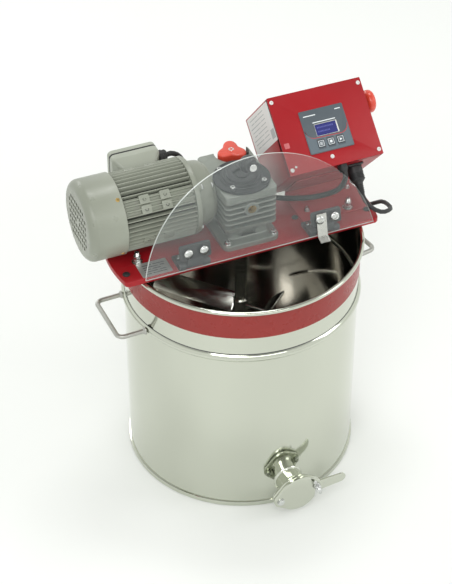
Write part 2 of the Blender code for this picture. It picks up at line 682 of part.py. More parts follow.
def open_cup(name, profile, mat, spin):
    """A turned cup: the profile runs from the inner lip over both poles to the outer lip."""
    u, v, w = axis_frame("X")
    steps = 28
    bm = bmesh.new()
    centre = Vector(spin)
    rings = []
    for radius, height in profile:
        if radius == 0.0:
            rings.append([bm.verts.new(centre + w * height)])
        else:
            rings.append([bm.verts.new(centre + (u * cos(2 * pi * k / steps) + v * sin(2 * pi * k / steps))
                                       * radius + w * height) for k in range(steps)])
    count = len(rings)
    for n in range(count):
        low, high = rings[n], rings[(n + 1) % count]
        if len(low) == 1 and len(high) == 1:
            continue
        for i in range(steps):
            j = (i + 1) % steps
            if len(low) == 1:
                bm.faces.new((low[0], high[j], high[i]))
            elif len(high) == 1:
                bm.faces.new((low[i], low[j], high[0]))
            else:
                bm.faces.new((low[i], low[j], high[j], high[i]))
    return mesh_object(name, bm, mat, origin=spin)


def slots_mesh(x):
    """Radial slots through the cowl's end, as one tool of separate blocks."""
    bm = bmesh.new()
    for r0, r1, count, half in ((22, 50, 12, 3.0),):
        for k in range(count):
            a = 2 * pi * k / count
            out = Vector((0, cos(a), sin(a)))
            side = Vector((0, -sin(a), cos(a)))
            centre = Vector((x, MOTOR_Y, MOTOR_Z))
            corners = [centre + out * r + side * s + Vector((d, 0, 0))
                       for d in (-5, 5) for r, s in ((r0, -half), (r1, -half), (r1, half), (r0, half))]
            v = [bm.verts.new(c) for c in corners]
            for face in ((0, 1, 2, 3), (7, 6, 5, 4), (0, 4, 5, 1), (1, 5, 6, 2), (2, 6, 7, 3), (3, 7, 4, 0)):
                bm.faces.new([v[i] for i in face])
    return bm


def terminal_box(mats):
    x0, x1 = -178.0, -94.0
    y0 = MOTOR_Y + FRAME_R + GAP
    back = [Vector((1, 0, 0)), Vector((0, 0, 1)), Vector((0, -1, 0))]
    rim = rounded(x0, 489, x1, 559, 7)
    seat = rounded(x0 + 14, 497, x1 - 14, 545, 7)
    loops = [[Vector((a, y, b)) for a, b in ring] for ring, y in
             ((seat, y0), (seat, y0 + 6), (rim, 132.0), (rim, 143.0))]
    lofted("terminal_box", loops, mats["motor_grey"])
    prism("terminal_cover", rim, -155.0, -143.0 - GAP, mats["motor_grey"],
          frame=back)
    turned("cable_gland", [(0, GAP), (12, GAP), (12, 7), (9.5, 8), (9.5, 14), (7, 16), (0, 16)],
           mats["black_rubber"], axis="X", at=(x1, 137.0, 537.0), steps=18)


def stirrer(mats):
    steel = mats["polished_steel"]
    turned("stirrer_shaft", [(0, 4), (SHAFT_R, 4), (SHAFT_R, 470), (9, 474), (9, 550), (0, 550)], steel,
           steps=24)
    turned("foot_bush", [(SHAFT_R + GAP, 1.5), (22, 1.5), (20, 14), (SHAFT_R + GAP, 14)],
           mats["white_rubber"], steps=24)
    for level, z, twist in BLADE_LEVELS:
        paddle(level, z, BLADE_ANGLE + twist, steel)


def paddle(level, z, angle, steel):
    """A hub sleeve with two flat blades of opposite pitch."""
    hub = turned(f"paddle_{level}", [(SHAFT_R + GAP, z - 15), (SHAFT_R + 2.5, z - 15), (SHAFT_R + 2.5, z + 15),
                                     (SHAFT_R + GAP, z + 15)], steel, steps=24)
    for tag, turn in (("front", 0.0), ("back", 180.0)):
        a = radians(angle + turn)
        pitch = radians(BLADE_PITCH)
        out = Vector((cos(a), sin(a), 0))
        wide = Vector((-sin(a), cos(a), 0)) * cos(pitch) + Vector((0, 0, 1)) * sin(pitch)
        outline = rounded(SHAFT_R + 1.2, -BLADE_W / 2, BLADE_REACH, BLADE_W / 2, 5)
        blade = prism(f"join_blade_{level}_{tag}", outline, -BLADE_T / 2, BLADE_T / 2, steel,
                      frame=[out, wide, out.cross(wide)], at=(0, 0, z), smooth=False)
        boolean(hub, blade, "UNION")


def box_frame():
    """Across, up the panel, and out of the panel."""
    a = radians(BOX_TILT)
    up = Vector((0, cos(a), sin(a)))
    across = Vector((1, 0, 0))
    return [across, up, across.cross(up)]


def box_point(x, w, out):
    """x along the machine, w up the panel from its lower edge, out in front of the panel."""
    across, up, normal = box_frame()
    return Vector((x, *BOX_FRONT_LOW)) + up * w + normal * out


def control_box(mats):
    frame = box_frame()
    base = (0, *BOX_FRONT_LOW)
    x0, x1 = BOX_X
    red = mats["red_paint"]
    t = BOX_SHEET
    outer = [(x0, 0), (x1, 0), (x1, BOX_SLOPE), (x0, BOX_SLOPE)]
    inner = [(x0 + t, t), (x1 - t, t), (x1 - t, BOX_SLOPE - t), (x0 + t, BOX_SLOPE - t)]
    across, up, normal = frame
    origin = Vector(base)

    def loop(points, depth):
        return [origin + across * a + up * b - normal * depth for a, b in points]

    front = PANEL_T + GAP
    box = lofted("control_box", [loop(inner, BOX_DEPTH - t), loop(inner, front),
                                 loop(outer, front), loop(outer, BOX_DEPTH)], red, smooth=False)
    panel = prism("control_panel", outer, -PANEL_T, 0.0, red, frame=frame, at=base, smooth=False)
    pad = rounded(121.5, 26.0, 201.5, 100.5, 1.5, 2)
    keypad = prism("keypad", pad, GAP, 1.3, mats["overlay_grey"], frame=frame, at=base, smooth=False)
    row = 41.0
    for tag, x in (("program", 145.2), ("stop", 162.9), ("start", 180.6)):
        hole = rounded(x - 6.3, row - 6.3, x + 6.3, row + 6.3, 1, 1)
        tool = prism(f"cut_key_{tag}", hole, -6, 6, red, frame=frame, at=base, smooth=False)
        boolean(panel, tool)
        boolean(keypad, tool)
        key = rounded(x - 5.8, row - 5.8, x + 5.8, row + 5.8, 1, 1)
        middle = box_point(x, row, 0)
        prism(f"key_{tag}", key, -3.0, 2.0, mats["overlay_grey"], frame=frame, at=base,
              smooth=False, origin=middle)
    prism("controller_board", rounded(110, 18, 210, 108, 2, 1), -9.0, -6.5, mats["white_rubber"],
          frame=frame, at=base, smooth=False)

    stop_at = box_point(x1, BOX_SLOPE - 35.0, -45.0)
    sideways = [up, normal, across]
    boolean(box, turned("cut_estop", [(0, -12), (9.2, -12), (9.2, 12), (0, 12)], red,
                        turn=sideways, at=stop_at, steps=20))
    turned("estop_button", [(0, -9), (8.6, -9), (8.6, 13.5), (14, 14), (19, 18), (20, 23), (18, 28), (10, 30.5),
                            (0, 31)], mats["signal_red"], turn=sideways, at=stop_at, steps=28)

    profile = [(-27.0, BEAM_TOP + GAP), (52.0, BEAM_TOP + GAP)]
    low_back = box_point(0, 0, -BOX_DEPTH + 6) - up * GAP
    low_front = box_point(0, 0, -BOX_DEPTH + 74) - up * GAP
    profile += [(low_back.y, low_back.z), (low_front.y, low_front.z)]
    under = low_front - up * 2.0
    elbow = low_back - up * 2.0
    profile += [(under.y, under.z), (elbow.y - 1.0, elbow.z - 1.0), (48.0, BEAM_TOP + GAP + 2.0),
                (-27.0, BEAM_TOP + GAP + 2.0)]
    bracket = prism("box_bracket", profile, 104.0, 226.0, red, frame=axis_frame("X"), smooth=False)
    boolean(bracket, turned("cut_bracket", [(0, 440), (9.5, 440), (9.5, 456), (0, 456)], red,
                            at=(STUD_X, STUD_Y, 0), steps=20))


def underside(x, depth, out):
    """A point on the box's underside, depth behind the panel and out below it."""
    across, up, normal = box_frame()
    return box_point(x, 0, -depth) - up * out


def cables(mats):
    black = mats["black_rubber"]
    across, up, normal = box_frame()
    down = [across, normal, -up]
    inlet_at = underside(203.0, 36.0, 0)
    turned("mains_inlet", [(0, GAP), (15.5, GAP), (15.5, 4.0), (0, 4.0)], black, turn=down, at=inlet_at, steps=20)
    connector = [(0, 4.3), (12.5, 4.3), (13.5, 7), (13.0, 26), (7.5, 32), (6.5, 34), (5.0, 52), (0, 52)]
    turned("cord_connector", connector, black, turn=down, at=inlet_at, steps=18)
    start = underside(203.0, 36.0, 52.0 + GAP)
    route = [start, start - up * 6, (206, -53, 483), (214, -61, 474), (233, -62, 462), (258, -43, 450),
             (262, -8, 439), (255, 13, 423), (246, 38, 403), (238, 74, 382), (224, 112, 355), (209, 144, 320),
             (200, 160, 270), (195, 172, 200), (190, 183, 120), (190, 179, 51), (173.5, 198, 16), (149, 235, 5)]
    cx, cy = COIL_AT
    outer = COIL_MEAN_R + 8.0
    arrival = radians(26)
    along = Vector((-sin(arrival), cos(arrival), 0))
    end = Vector((cx, cy, 4.2)) + Vector((cos(arrival), sin(arrival), 0)) * (outer + GAP + CORD_R)
    route += [end - along * 50, end - along * 14, end]
    tube("mains_cord", smooth_route(route, 19.0), CORD_R, black)
    turned("cord_coil", [(COIL_MEAN_R - 8, GAP), (outer, GAP), (outer, 16), (COIL_MEAN_R - 8, 16)], black,
           at=(cx, cy, 0), steps=36)
    turned("mains_plug", [(0, 0), (5, 0), (7, 16), (17, 26), (18.5, 32), (18.5, 50), (0, 50)], black,
           turn=[Vector((0, 1, 0)), Vector((0, 0, 1)), Vector((-1, 0, 0))],
           at=(cx - outer - 0.6, cy + COIL_MEAN_R - 4.0, 18.9), steps=20)

    gland = Vector((-94.0 + 16.0 + GAP, 137.0, 537.0))
    entry = underside(174.0, 12.0, GAP)
    motor_route = [gland, gland + Vector((9, 0, 0)), (-56, 138, 528), (-46, 137, 510), (-34, 129, 490),
                   (-12, 112, 475), (22, 91, 467), (58, 62, 464), (92, 32, 468), (125, 6, 477), (152, -12, 489),
                   (168, -26, 506), entry - up * 20, entry]
    tube("motor_cable", smooth_route(motor_route, 14.0), 4.5, black)


def build():
    clear_objects()
    mats = make_materials()
    drum(mats)
    honey_gate(mats)
    beam(mats)
    front_lid(mats)
    gearbox(mats)
    motor(mats)
    stirrer(mats)
    control_box(mats)
    cables(mats)


build()
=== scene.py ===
"""Looks of the honey creaming machine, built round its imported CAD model.

The frame is the CAD's own: +Z up, +X along the beam towards the control box, -Y the front.
The mesh helpers take millimetres and make objects in metres.
"""
import json
from math import asin, atan2, cos, hypot, pi, radians, sin, sqrt

import bmesh
import bpy
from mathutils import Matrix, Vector, noise


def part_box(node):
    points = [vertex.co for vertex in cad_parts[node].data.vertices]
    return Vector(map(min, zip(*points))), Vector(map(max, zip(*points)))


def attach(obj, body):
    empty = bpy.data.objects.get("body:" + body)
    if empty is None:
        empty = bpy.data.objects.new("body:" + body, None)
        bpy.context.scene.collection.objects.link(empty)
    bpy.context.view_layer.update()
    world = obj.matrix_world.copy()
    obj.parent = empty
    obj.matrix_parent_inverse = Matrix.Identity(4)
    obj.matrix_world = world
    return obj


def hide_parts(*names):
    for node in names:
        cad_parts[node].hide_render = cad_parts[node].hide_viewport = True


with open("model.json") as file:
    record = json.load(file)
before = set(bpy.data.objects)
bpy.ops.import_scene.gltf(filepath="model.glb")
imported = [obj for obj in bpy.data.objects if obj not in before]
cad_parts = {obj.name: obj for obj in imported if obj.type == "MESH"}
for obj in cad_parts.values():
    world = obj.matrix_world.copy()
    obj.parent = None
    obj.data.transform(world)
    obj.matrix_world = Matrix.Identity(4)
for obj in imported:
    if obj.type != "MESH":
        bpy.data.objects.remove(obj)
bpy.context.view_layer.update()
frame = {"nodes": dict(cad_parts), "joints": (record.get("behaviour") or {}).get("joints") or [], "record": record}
link = bpy.context.scene.collection.objects.link

MM = 0.001  # a millimetre in metres
GAP = 0.3  # between pieces that sit against each other
BODY_OF = {node: body for body, nodes in frame["record"]["behaviour"]["bodies"].items() for node in nodes}


def low(node):
    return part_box(node)[0] / MM


def high(node):
    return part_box(node)[1] / MM


def middle(node):
    return (low(node) + high(node)) / 2


# Driving dimensions, read from the frame where a box gives them
DRUM_R = round(high("red_band").x - 1.1, 1)
DRUM_WALL = 1
RIM_TOP = high("drum_shell").z
BEAD_Z = round(middle("handle_left").z, 1)
BEAD_OUT = 5
BEAD_HALF = 7.5
# The sheet's faint waves: height, and how fast they change around and up
WAVE_HIGH, WAVE_AROUND, WAVE_UP = 0.22, 0.011, 0.007
GATE_Z = 49
GATE_ANGLE = radians(1.2)
GATE_FLANGE_OUT = 228
GATE_PLATE_OUT = 236
GATE_BOLT = (34, 6)
BEAM_TOP = round(high("beam").z, 1)
BEAM_LOW = low("beam").z
BEAM_HALF_Y = round(high("beam").y, 1)
BEAM_END_R = 234
STUD_X = round(middle("beam_stud_right").x, 1)
STUD_Y = round(middle("beam_stud_right").y, 1)
LID_R = 208
LID_DEPTH = 167
LID_T = 4
LID_TILT = radians(76)
HINGE_TO_LID = 17
HINGE = Vector(next(j for j in frame["joints"] if j["name"] == "lid_hinge")["pos_m"]) / MM
HINGE_X = (round(middle("hinge_left_base").x, 1), round(middle("hinge_right_base").x, 1))
LID_KNOB_X = round(middle("lid_knob").x, 1)
LID_KNOB_UP = 146
MOTOR_AT = Vector((0, round(middle("motor_frame").y, 1), round(middle("motor_frame").z, 1)))
FRAME_X = (low("motor_frame").x, high("motor_frame").x)
FRAME_R = 66
COWL_R = 69
COWL_X = (low("fan_cowl").x, high("fan_cowl").x)
SHAFT_R = 10.5
BOX_TILT = radians(42)
BOX_LOW = low("control_panel")
BOX_WIDE = round(high("control_panel").x - BOX_LOW.x, 1)
BOX_SLOPE = 136
BOX_DEPTH = 126
CORD_R = 3.75
COIL_AT = middle("cord_coil")
COIL_MEAN_R = 41
# Under the box: x and depth behind the panel of the mains inlet and of the motor cable
INLET = (203, 36)
LEAD_IN = (174, 12)
CONNECTOR_LONG = 52
# X and y of the red knob
KNOB_AT = (14, 76)

RIGHT = Vector((1, 0, 0))
BACK = Vector((0, 1, 0))
UP = Vector((0, 0, 1))
# Axes for shapes drawn flat: the two of the drawing, then the one it is raised along
TURN_Z = (RIGHT, BACK, UP)
TURN_X = (BACK, UP, RIGHT)
TURN_LEFT = (BACK, UP, -RIGHT)
TURN_DEEP = (RIGHT, UP, BACK)
TURN_FRONT = (RIGHT, UP, -BACK)
TURN_REAR = (-RIGHT, UP, BACK)
LID_UP = Vector((0, cos(LID_TILT), sin(LID_TILT)))
LID_TURN = (RIGHT, LID_UP, RIGHT.cross(LID_UP))
BOX_UP = Vector((0, cos(BOX_TILT), sin(BOX_TILT)))
BOX_TURN = (RIGHT, BOX_UP, RIGHT.cross(BOX_UP))
PANEL_T = 1.5
KEY_HALF = 5.8
BOX_EDGE = Vector((0, BOX_LOW.y, BOX_LOW.z + PANEL_T * cos(BOX_TILT)))
# Bottom and top of the print on the keypad, on the keys and on the side label, above the face below it
ZONE_PRINT, KEY_PRINT, LABEL_PRINT = (1, 1.14), (1.75, 1.85), (0.35, 0.42)
ON_PANEL = {"turn": BOX_TURN, "at": BOX_EDGE}
ON_MOTOR = {"turn": TURN_X, "at": MOTOR_AT}


# ---------------------------------------------------------------- materials

# Noise values between which colour and roughness change, and pointiness where wear starts and is full
CLOUD_RANGE = (0.3, 0.7)
EDGE_RANGE = (0.52, 0.62)
BUMP_DEPTH = 0.0008  # metres


def material(name, colour, rough, metal=0, tone=0.05, tone_scale=18, swing=0.06, rough_scale=60, bump=0.05,
        bump_scale=700, stretch=(1, 1, 1), second=None, wear=0, **sockets):
    """A Principled surface whose colour, roughness and grain come from noise in object space.

    tone is the share the colour varies by, second an optional stain colour, wear lightens edges."""
    mat = bpy.data.materials.new(name)
    mat.use_nodes = True
    nodes, links = mat.node_tree.nodes, mat.node_tree.links
    shader = nodes["Principled BSDF"]

    def put(node, **values):
        for socket, value in values.items():
            node.inputs[socket.replace("_", " ")].default_value = value
        return node

    def add(kind, **values):
        return put(nodes.new("ShaderNode" + kind), **values)

    mapping = add("Mapping", Scale=stretch)
    links.new(add("TexCoord").outputs["Object"], mapping.inputs["Vector"])

    def cloud(scale, detail=4):
        made = add("TexNoise", Scale=scale, Detail=detail)
        links.new(mapping.outputs["Vector"], made.inputs["Vector"])
        return made.outputs["Fac"]

    ramp = add("ValToRGB")
    dark = second or [c * (1 - tone) for c in colour]
    light = [min(1, c * (1 + tone)) for c in colour]
    for stop, place, shade in zip(ramp.color_ramp.elements, CLOUD_RANGE, (dark, light)):
        stop.position = place
        stop.color = (*shade, 1)
    links.new(cloud(tone_scale), ramp.inputs["Fac"])
    tint = ramp.outputs["Color"]
    if wear:
        reach = add("MapRange", From_Min=EDGE_RANGE[0], From_Max=EDGE_RANGE[1], To_Max=wear)
        links.new(add("NewGeometry").outputs["Pointiness"], reach.inputs["Value"])
        blend = add("MixRGB", Color2=(*[min(1, c * 1.6 + 0.12) for c in colour], 1))
        links.new(reach.outputs["Result"], blend.inputs["Fac"])
        links.new(tint, blend.inputs["Color1"])
        tint = blend.outputs["Color"]
    links.new(tint, shader.inputs["Base Color"])
    spread = add("MapRange", From_Min=CLOUD_RANGE[0], From_Max=CLOUD_RANGE[1],
        To_Min=max(0.02, rough - swing), To_Max=rough + swing)
    links.new(cloud(rough_scale), spread.inputs["Value"])
    links.new(spread.outputs["Result"], shader.inputs["Roughness"])
    relief = add("Bump", Strength=bump, Distance=BUMP_DEPTH)
    links.new(cloud(bump_scale, 2), relief.inputs["Height"])
    links.new(relief.outputs["Normal"], shader.inputs["Normal"])
    put(shader, Metallic=metal, **sockets)
    return mat


# Colour, roughness, metalness, and what differs from the defaults of material()
LOOKS = {
    "polished_steel": ((0.59, 0.61, 0.53), 0.085, 1, dict(tone=0.03, tone_scale=5, swing=0.035,
        rough_scale=25, bump=0.035, bump_scale=60, stretch=(1, 1, 0.25))),
    # The inside steel is a lighter, more neutral copy of the drum steel: painted light for the shaded inside of
    # the drum
    "inner_steel": ((0.7, 0.685, 0.645), 0.11, 1, dict(tone=0.03, tone_scale=6, swing=0.035,
        rough_scale=30, bump=0.03, bump_scale=70, stretch=(1, 1, 0.25))),
    "blade_steel": ((0.6, 0.6, 0.55), 0.2, 1, dict(bump_scale=900, stretch=(1, 1, 6))),
    "brushed_steel": ((0.6, 0.6, 0.57), 0.3, 1, dict(swing=0.08, bump=0.1, bump_scale=500,
        stretch=(6, 1, 6))),
    "handle_steel": ((0.45, 0.45, 0.42), 0.38, 0.9, dict(bump=0.08, bump_scale=500, stretch=(6, 1, 6))),
    "zinc_steel": ((0.66, 0.67, 0.66), 0.24, 1, dict(tone=0.1, tone_scale=120, swing=0.08,
        rough_scale=200)),
    "bright_screw": ((0.8, 0.81, 0.8), 0.3, 0.35, dict(tone=0.08, tone_scale=150, swing=0.08)),
    "red_paint": ((0.335, 0.009, 0.014), 0.34, 0, dict(tone=0.06, tone_scale=9, swing=0.05, bump=0.16,
        bump_scale=1500, wear=0.12, Specular_IOR_Level=0.28)),
    "red_vinyl": ((0.27, 0.026, 0.022), 0.3, 0, dict(tone_scale=12, swing=0.07, bump=0.02, bump_scale=220,
        Specular_IOR_Level=0.35)),
    "clear_acrylic": ((0.36, 0.39, 0.39), 0.05, 0, dict(tone=0.02, swing=0.02, bump=0.01, bump_scale=40,
        Alpha=0.12)),
    # The light, nearly opaque edge of the lid sheet is a painted glint of its polished edges
    "acrylic_edge_glint": ((0.7, 0.74, 0.72), 0.12, 0, dict(tone_scale=60, swing=0.05, bump_scale=900,
        stretch=(1, 1, 5), Alpha=0.85)),
    "motor_grey": ((0.262, 0.277, 0.228), 0.33, 0, dict(tone_scale=14, bump=0.22, wear=0.2)),
    "box_grey": ((0.36, 0.38, 0.32), 0.38, 0, dict(tone_scale=14, bump=0.15, wear=0.1)),
    # Near-black painted shade for the hollows between the fins and inside the fan cowl, where shade falls
    "painted_shade_grey": ((0.055, 0.058, 0.048), 0.6, 0, dict(tone=0.12, tone_scale=30, bump=0.2)),
    "cast_aluminium": ((0.255, 0.275, 0.245), 0.42, 0.35, dict(tone=0.09, tone_scale=40, swing=0.08,
        bump=0.35, bump_scale=800, wear=0.3)),
    "dark_plastic": ((0.055, 0.057, 0.06), 0.45, 0, dict(tone=0.12, tone_scale=60, swing=0.08, bump=0.18,
        bump_scale=1300, wear=0.08)),
    "cap_grey": ((0.034, 0.037, 0.04), 0.4, 0.1, dict(tone=0.12, tone_scale=50, swing=0.08, bump=0.25,
        bump_scale=900, wear=0.12)),
    "black_rubber": ((0.017, 0.017, 0.018), 0.5, 0, dict(tone=0.2, tone_scale=80, swing=0.1, bump=0.12,
        bump_scale=900)),
    "bronze": ((0.52, 0.33, 0.12), 0.32, 1, dict(tone=0.12, bump=0.08, stretch=(1, 1, 8))),
    "brass": ((0.62, 0.42, 0.15), 0.28, 1, dict(tone=0.12, tone_scale=150, bump=0.06)),
    "copper": ((0.58, 0.24, 0.11), 0.38, 1, dict(tone=0.2, tone_scale=90, bump=0.2,
        second=(0.1, 0.09, 0.09), stretch=(8, 1, 1))),
    "overlay_grey": ((0.08, 0.098, 0.115), 0.42, 0, dict(tone=0.04, bump=0.1, bump_scale=2200)),
    "overlay_light": ((0.115, 0.145, 0.17), 0.42, 0, dict(tone=0.04, bump=0.1, bump_scale=2200)),
    "key_grey": ((0.085, 0.1, 0.12), 0.38, 0, dict(bump=0.08, bump_scale=2000)),
    # The display's faint emission is a painted glow; the rest of the colour is the display's own blue
    "lcd_blue": ((0.014, 0.016, 0.12), 0.18, 0, dict(tone=0.12, tone_scale=40, bump=0.01, Coat_Weight=0.8,
        Coat_Roughness=0.05, Emission_Color=(0.02, 0.03, 0.45, 1), Emission_Strength=0.12)),
    "lcd_pale": ((0.1, 0.11, 0.36), 0.25, 0, dict(tone=0.1, tone_scale=60, bump=0.02)),
    "print_white": ((0.72, 0.76, 0.78), 0.45, 0, dict(tone=0.04, bump=0.04)),
    "print_pale": ((0.42, 0.44, 0.44), 0.5, 0, dict(tone=0.08, bump=0.04)),
    "sticker_pink": ((0.56, 0.14, 0.15), 0.45, 0, dict(tone=0.15, tone_scale=200, bump=0.04)),
    "print_red": ((0.5, 0.03, 0.04), 0.42, 0, dict(bump=0.04)),
    "print_grey": ((0.14, 0.14, 0.15), 0.5, 0, dict(tone=0.08, bump=0.04)),
    "signal_red": ((0.68, 0.065, 0.035), 0.3, 0, dict(tone=0.06, tone_scale=30, bump=0.06, bump_scale=900,
        wear=0.15, Coat_Weight=0.3, Coat_Roughness=0.15)),
    "white_plastic": ((0.74, 0.74, 0.7), 0.42, 0, dict(bump=0.06)),
    "board_green": ((0.02, 0.16, 0.07), 0.35, 0, dict(tone=0.2, tone_scale=200, bump=0.1,
        second=(0.35, 0.3, 0.12))),
    "label_silver": ((0.52, 0.52, 0.5), 0.36, 0.6, dict(tone=0.04, stretch=(8, 1, 1))),
    "label_white": ((0.74, 0.73, 0.72), 0.48, 0, dict(tone=0.03, bump=0.04)),
    "studio_floor": ((0.9, 0.91, 0.9), 0.75, 0, dict(tone=0.01, tone_scale=1, bump=0.02)),
}
MATS = {name: material(name, colour, rough, metal, **options)
        for name, (colour, rough, metal, options) in LOOKS.items()}


# ---------------------------------------------------------------- mesh helpers

def arc(cx, cy, radius, start, end, count):
    """Points on a circular arc, angles in degrees."""
    turns = [radians(start + (end - start) * k / count) for k in range(count + 1)]
    return [(cx + radius * cos(a), cy + radius * sin(a)) for a in turns]


def spoke(a, x=RIGHT, y=BACK):
    """The direction at angle a in the plane of x and y."""
    return x * cos(a) + y * sin(a)


def rounded(x0, y0, x1, y1, radius, count=6):
    """A rectangle with round corners."""
    corners = ((x1 - radius, y0 + radius), (x1 - radius, y1 - radius), (x0 + radius, y1 - radius),
               (x0 + radius, y0 + radius))
    return [p for k, (x, y) in enumerate(corners) for p in arc(x, y, radius, 90 * k - 90, 90 * k, count)]


def square(x, y, half, radius, count):
    return rounded(x - half, y - half, x + half, y + half, radius, count)


def hull(circles, count=64):
    """Convex outline round some circles (x, y, radius)."""
    points = sorted({(round(cx + r * cos(2 * pi * k / count), 4), round(cy + r * sin(2 * pi * k / count), 4))
        for cx, cy, r in circles for k in range(count)})

    def half(ordered):
        chain = []
        for p in ordered:
            while len(chain) > 1:
                (ax, ay), (bx, by) = chain[-2], chain[-1]
                if (bx - ax) * (p[1] - ay) - (by - ay) * (p[0] - ax) > 1e-6:
                    break
                chain.pop()
            chain.append(p)
        return chain[:-1]

    return half(points) + half(points[::-1])


def in_turn(turn, at, a, b, c):
    return Vector(at) + turn[0] * a + turn[1] * b + turn[2] * c


def baked(ob, angle):
    """The object's mesh with its modifiers applied, shaded smooth but for its sharp edges."""
    graph = bpy.context.evaluated_depsgraph_get()
    mesh = bpy.data.meshes.new_from_object(ob.evaluated_get(graph))
    mesh.shade_smooth()
    mesh.set_sharp_from_angle(angle=radians(angle))
    return mesh


def solid(name, bm, mats, bevel=0, segments=2, cuts=(), adds=(), angle=32):
    """An object from a mesh in millimetres, joined to adds, less cuts, and bevelled."""
    bmesh.ops.recalc_face_normals(bm, faces=bm.faces)
    for vert in bm.verts:
        vert.co *= MM
    mesh = bpy.data.meshes.new(name)
    bm.to_mesh(mesh)
    bm.free()
    ob = bpy.data.objects.new(name, mesh)
    link(ob)
    for mat in ([mats] if isinstance(mats, str) else mats):
        mesh.materials.append(MATS[mat])
    for tools, operation in ((adds, "UNION"), (cuts, "DIFFERENCE")):
        for tool in tools:
            modifier = ob.modifiers.new(operation, "BOOLEAN")
            modifier.operation = operation
            modifier.solver = "EXACT"
            modifier.object = tool
    if bevel:
        modifier = ob.modifiers.new("Bevel", "BEVEL")
        modifier.width = bevel * MM
        modifier.segments = segments
        modifier.limit_method = "ANGLE"
        modifier.angle_limit = radians(30)
    mesh = baked(ob, angle)
    ob.modifiers.clear()
    ob.data = mesh
    for tool in (*adds, *cuts):
        bpy.data.objects.remove(tool)
    return ob


def loft(name, loops, mats, closed=False, side=0, **options):
    """Bridge loops of equal length and cap the ends. side is the material index of the walls."""
    bm = bmesh.new()
    rings = [[bm.verts.new(Vector(point)) for point in loop] for loop in loops]
    pairs = list(zip(rings, rings[1:]))
    if closed:
        pairs.append((rings[-1], rings[0]))
    for below, above in pairs:
        for i in range(len(below)):
            j = (i + 1) % len(below)
            face = bm.faces.new((below[i], below[j], above[j], above[i]))
            face.material_index = side
    if not closed:
        bm.faces.new(rings[0])
        bm.faces.new(rings[-1])
    return solid(name, bm, mats, **options)


def prism(name, outline, start, end, mats, turn=TURN_Z, at=(0, 0, 0), **options):
    loops = [[in_turn(turn, at, a, b, h) for a, b in outline] for h in (start, end)]
    return loft(name, loops, mats, **options)


def block(name, near, far, mats, **options):
    outline = [(near[0], near[1]), (far[0], near[1]), (far[0], far[1]), (near[0], far[1])]
    return prism(name, outline, near[2], far[2], mats, **options)


def ring_radius(radius, sides, a):
    """Radius at angle a of a circle (0 sides), a polygon, or a cross (4 sides)."""
    if sides == 6:
        return radius * cos(pi / 6) / cos((a % (pi / 3)) - pi / 6)
    if sides == 4:
        return radius if abs(((a + pi / 4) % (pi / 2)) - pi / 4) < 0.2 else radius * 0.35
    return radius


def lathe(name, profile, mats, turn=TURN_Z, at=(0, 0, 0), steps=64, lift=0, **options):
    """Revolve (radius, height) or (radius, height, sides) points, all raised by lift.

    A profile from radius 0 to radius 0 is a solid, and any other is a closed ring."""
    bm = bmesh.new()
    rings = []
    for radius, height, *sides in profile:
        height += lift
        if radius == 0:
            rings.append([bm.verts.new(in_turn(turn, at, 0, 0, height))])
            continue
        ring = []
        for k in range(steps):
            a = 2 * pi * k / steps
            r = ring_radius(radius, sides[0] if sides else 0, a)
            ring.append(bm.verts.new(in_turn(turn, at, r * cos(a), r * sin(a), height)))
        rings.append(ring)
    pairs = list(zip(rings, rings[1:]))
    if len(rings[0]) > 1:
        pairs.append((rings[-1], rings[0]))
    for below, above in pairs:
        if len(below) == len(above) == 1:
            continue
        for i in range(steps):
            j = (i + 1) % steps
            if len(below) == 1:
                bm.faces.new((below[0], above[j], above[i]))
            elif len(above) == 1:
                bm.faces.new((below[i], below[j], above[0]))
            else:
                bm.faces.new((below[i], below[j], above[j], above[i]))
    return solid(name, bm, mats, **options)


def disc(name, radius, start, end, mats, **options):
    """A plain cylinder between two heights."""
    return lathe(name, [(0, start), (radius, start), (radius, end), (0, end)], mats, **options)


# Screw heads for radius 1 and height 1
HEADS = {
    "socket": [(0, 0), (0.96, 0), (1, 0.06), (1, 0.86), (0.9, 1), (0.6, 1, 6), (0.56, 0.93, 6),
               (0.54, 0.35, 6), (0, 0.3)],
    "hex": [(0, 0), (1.1, 0, 6), (1.1, 0.8, 6), (1, 0.93, 6), (0.8, 1), (0, 1)],
    "cross": [(0, 0), (1, 0), (1, 0.3), (0.86, 0.72), (0.62, 1), (0.55, 0.98, 4), (0.5, 0.4, 4),
              (0, 0.35)],
    "button": [(0, 0), (1, 0), (1, 0.2), (0.94, 0.48), (0.8, 0.76), (0.6, 0.94), (0.5, 0.97, 6),
               (0.46, 0.35, 6), (0, 0.3)],
    "dome": [(0, 0), (1, 0), (1, 0.2), (0.93, 0.48), (0.76, 0.74), (0.5, 0.92), (0.25, 0.99), (0, 1)],
}


def head(kind, at, turn, radius, height, mat):
    profile = [(r * radius, h * height, *sides) for r, h, *sides in HEADS[kind]]
    return lathe("head", profile, mat, turn=turn, at=at, steps=24, angle=30)


def merge(name, parts):
    """Join objects into one that keeps each part's material."""
    with bpy.context.temp_override(active_object=parts[0], selected_editable_objects=parts):
        bpy.ops.object.join()
    parts[0].name = name
    return parts[0]


def tube(name, points, radius, mat, resolution=6):
    """A round rod through points in millimetres, kept as a curve."""
    curve = bpy.data.curves.new(name, "CURVE")
    curve.dimensions = "3D"
    curve.bevel_depth = radius * MM
    curve.bevel_resolution = resolution
    curve.use_fill_caps = True
    spline = curve.splines.new("POLY")
    spline.points.add(len(points) - 1)
    for target, point in zip(spline.points, points):
        target.co = (*(Vector(point) * MM), 1)
    ob = bpy.data.objects.new(name, curve)
    link(ob)
    curve.materials.append(MATS[mat])
    return ob


def rod(name, points, radius, mat, resolution=6):
    """The same rod as a mesh, so that it can be joined to other parts."""
    ob = tube(name, points, radius, mat, resolution)
    made = bpy.data.objects.new(name, baked(ob, 40))
    link(made)
    bpy.data.objects.remove(ob)
    return made


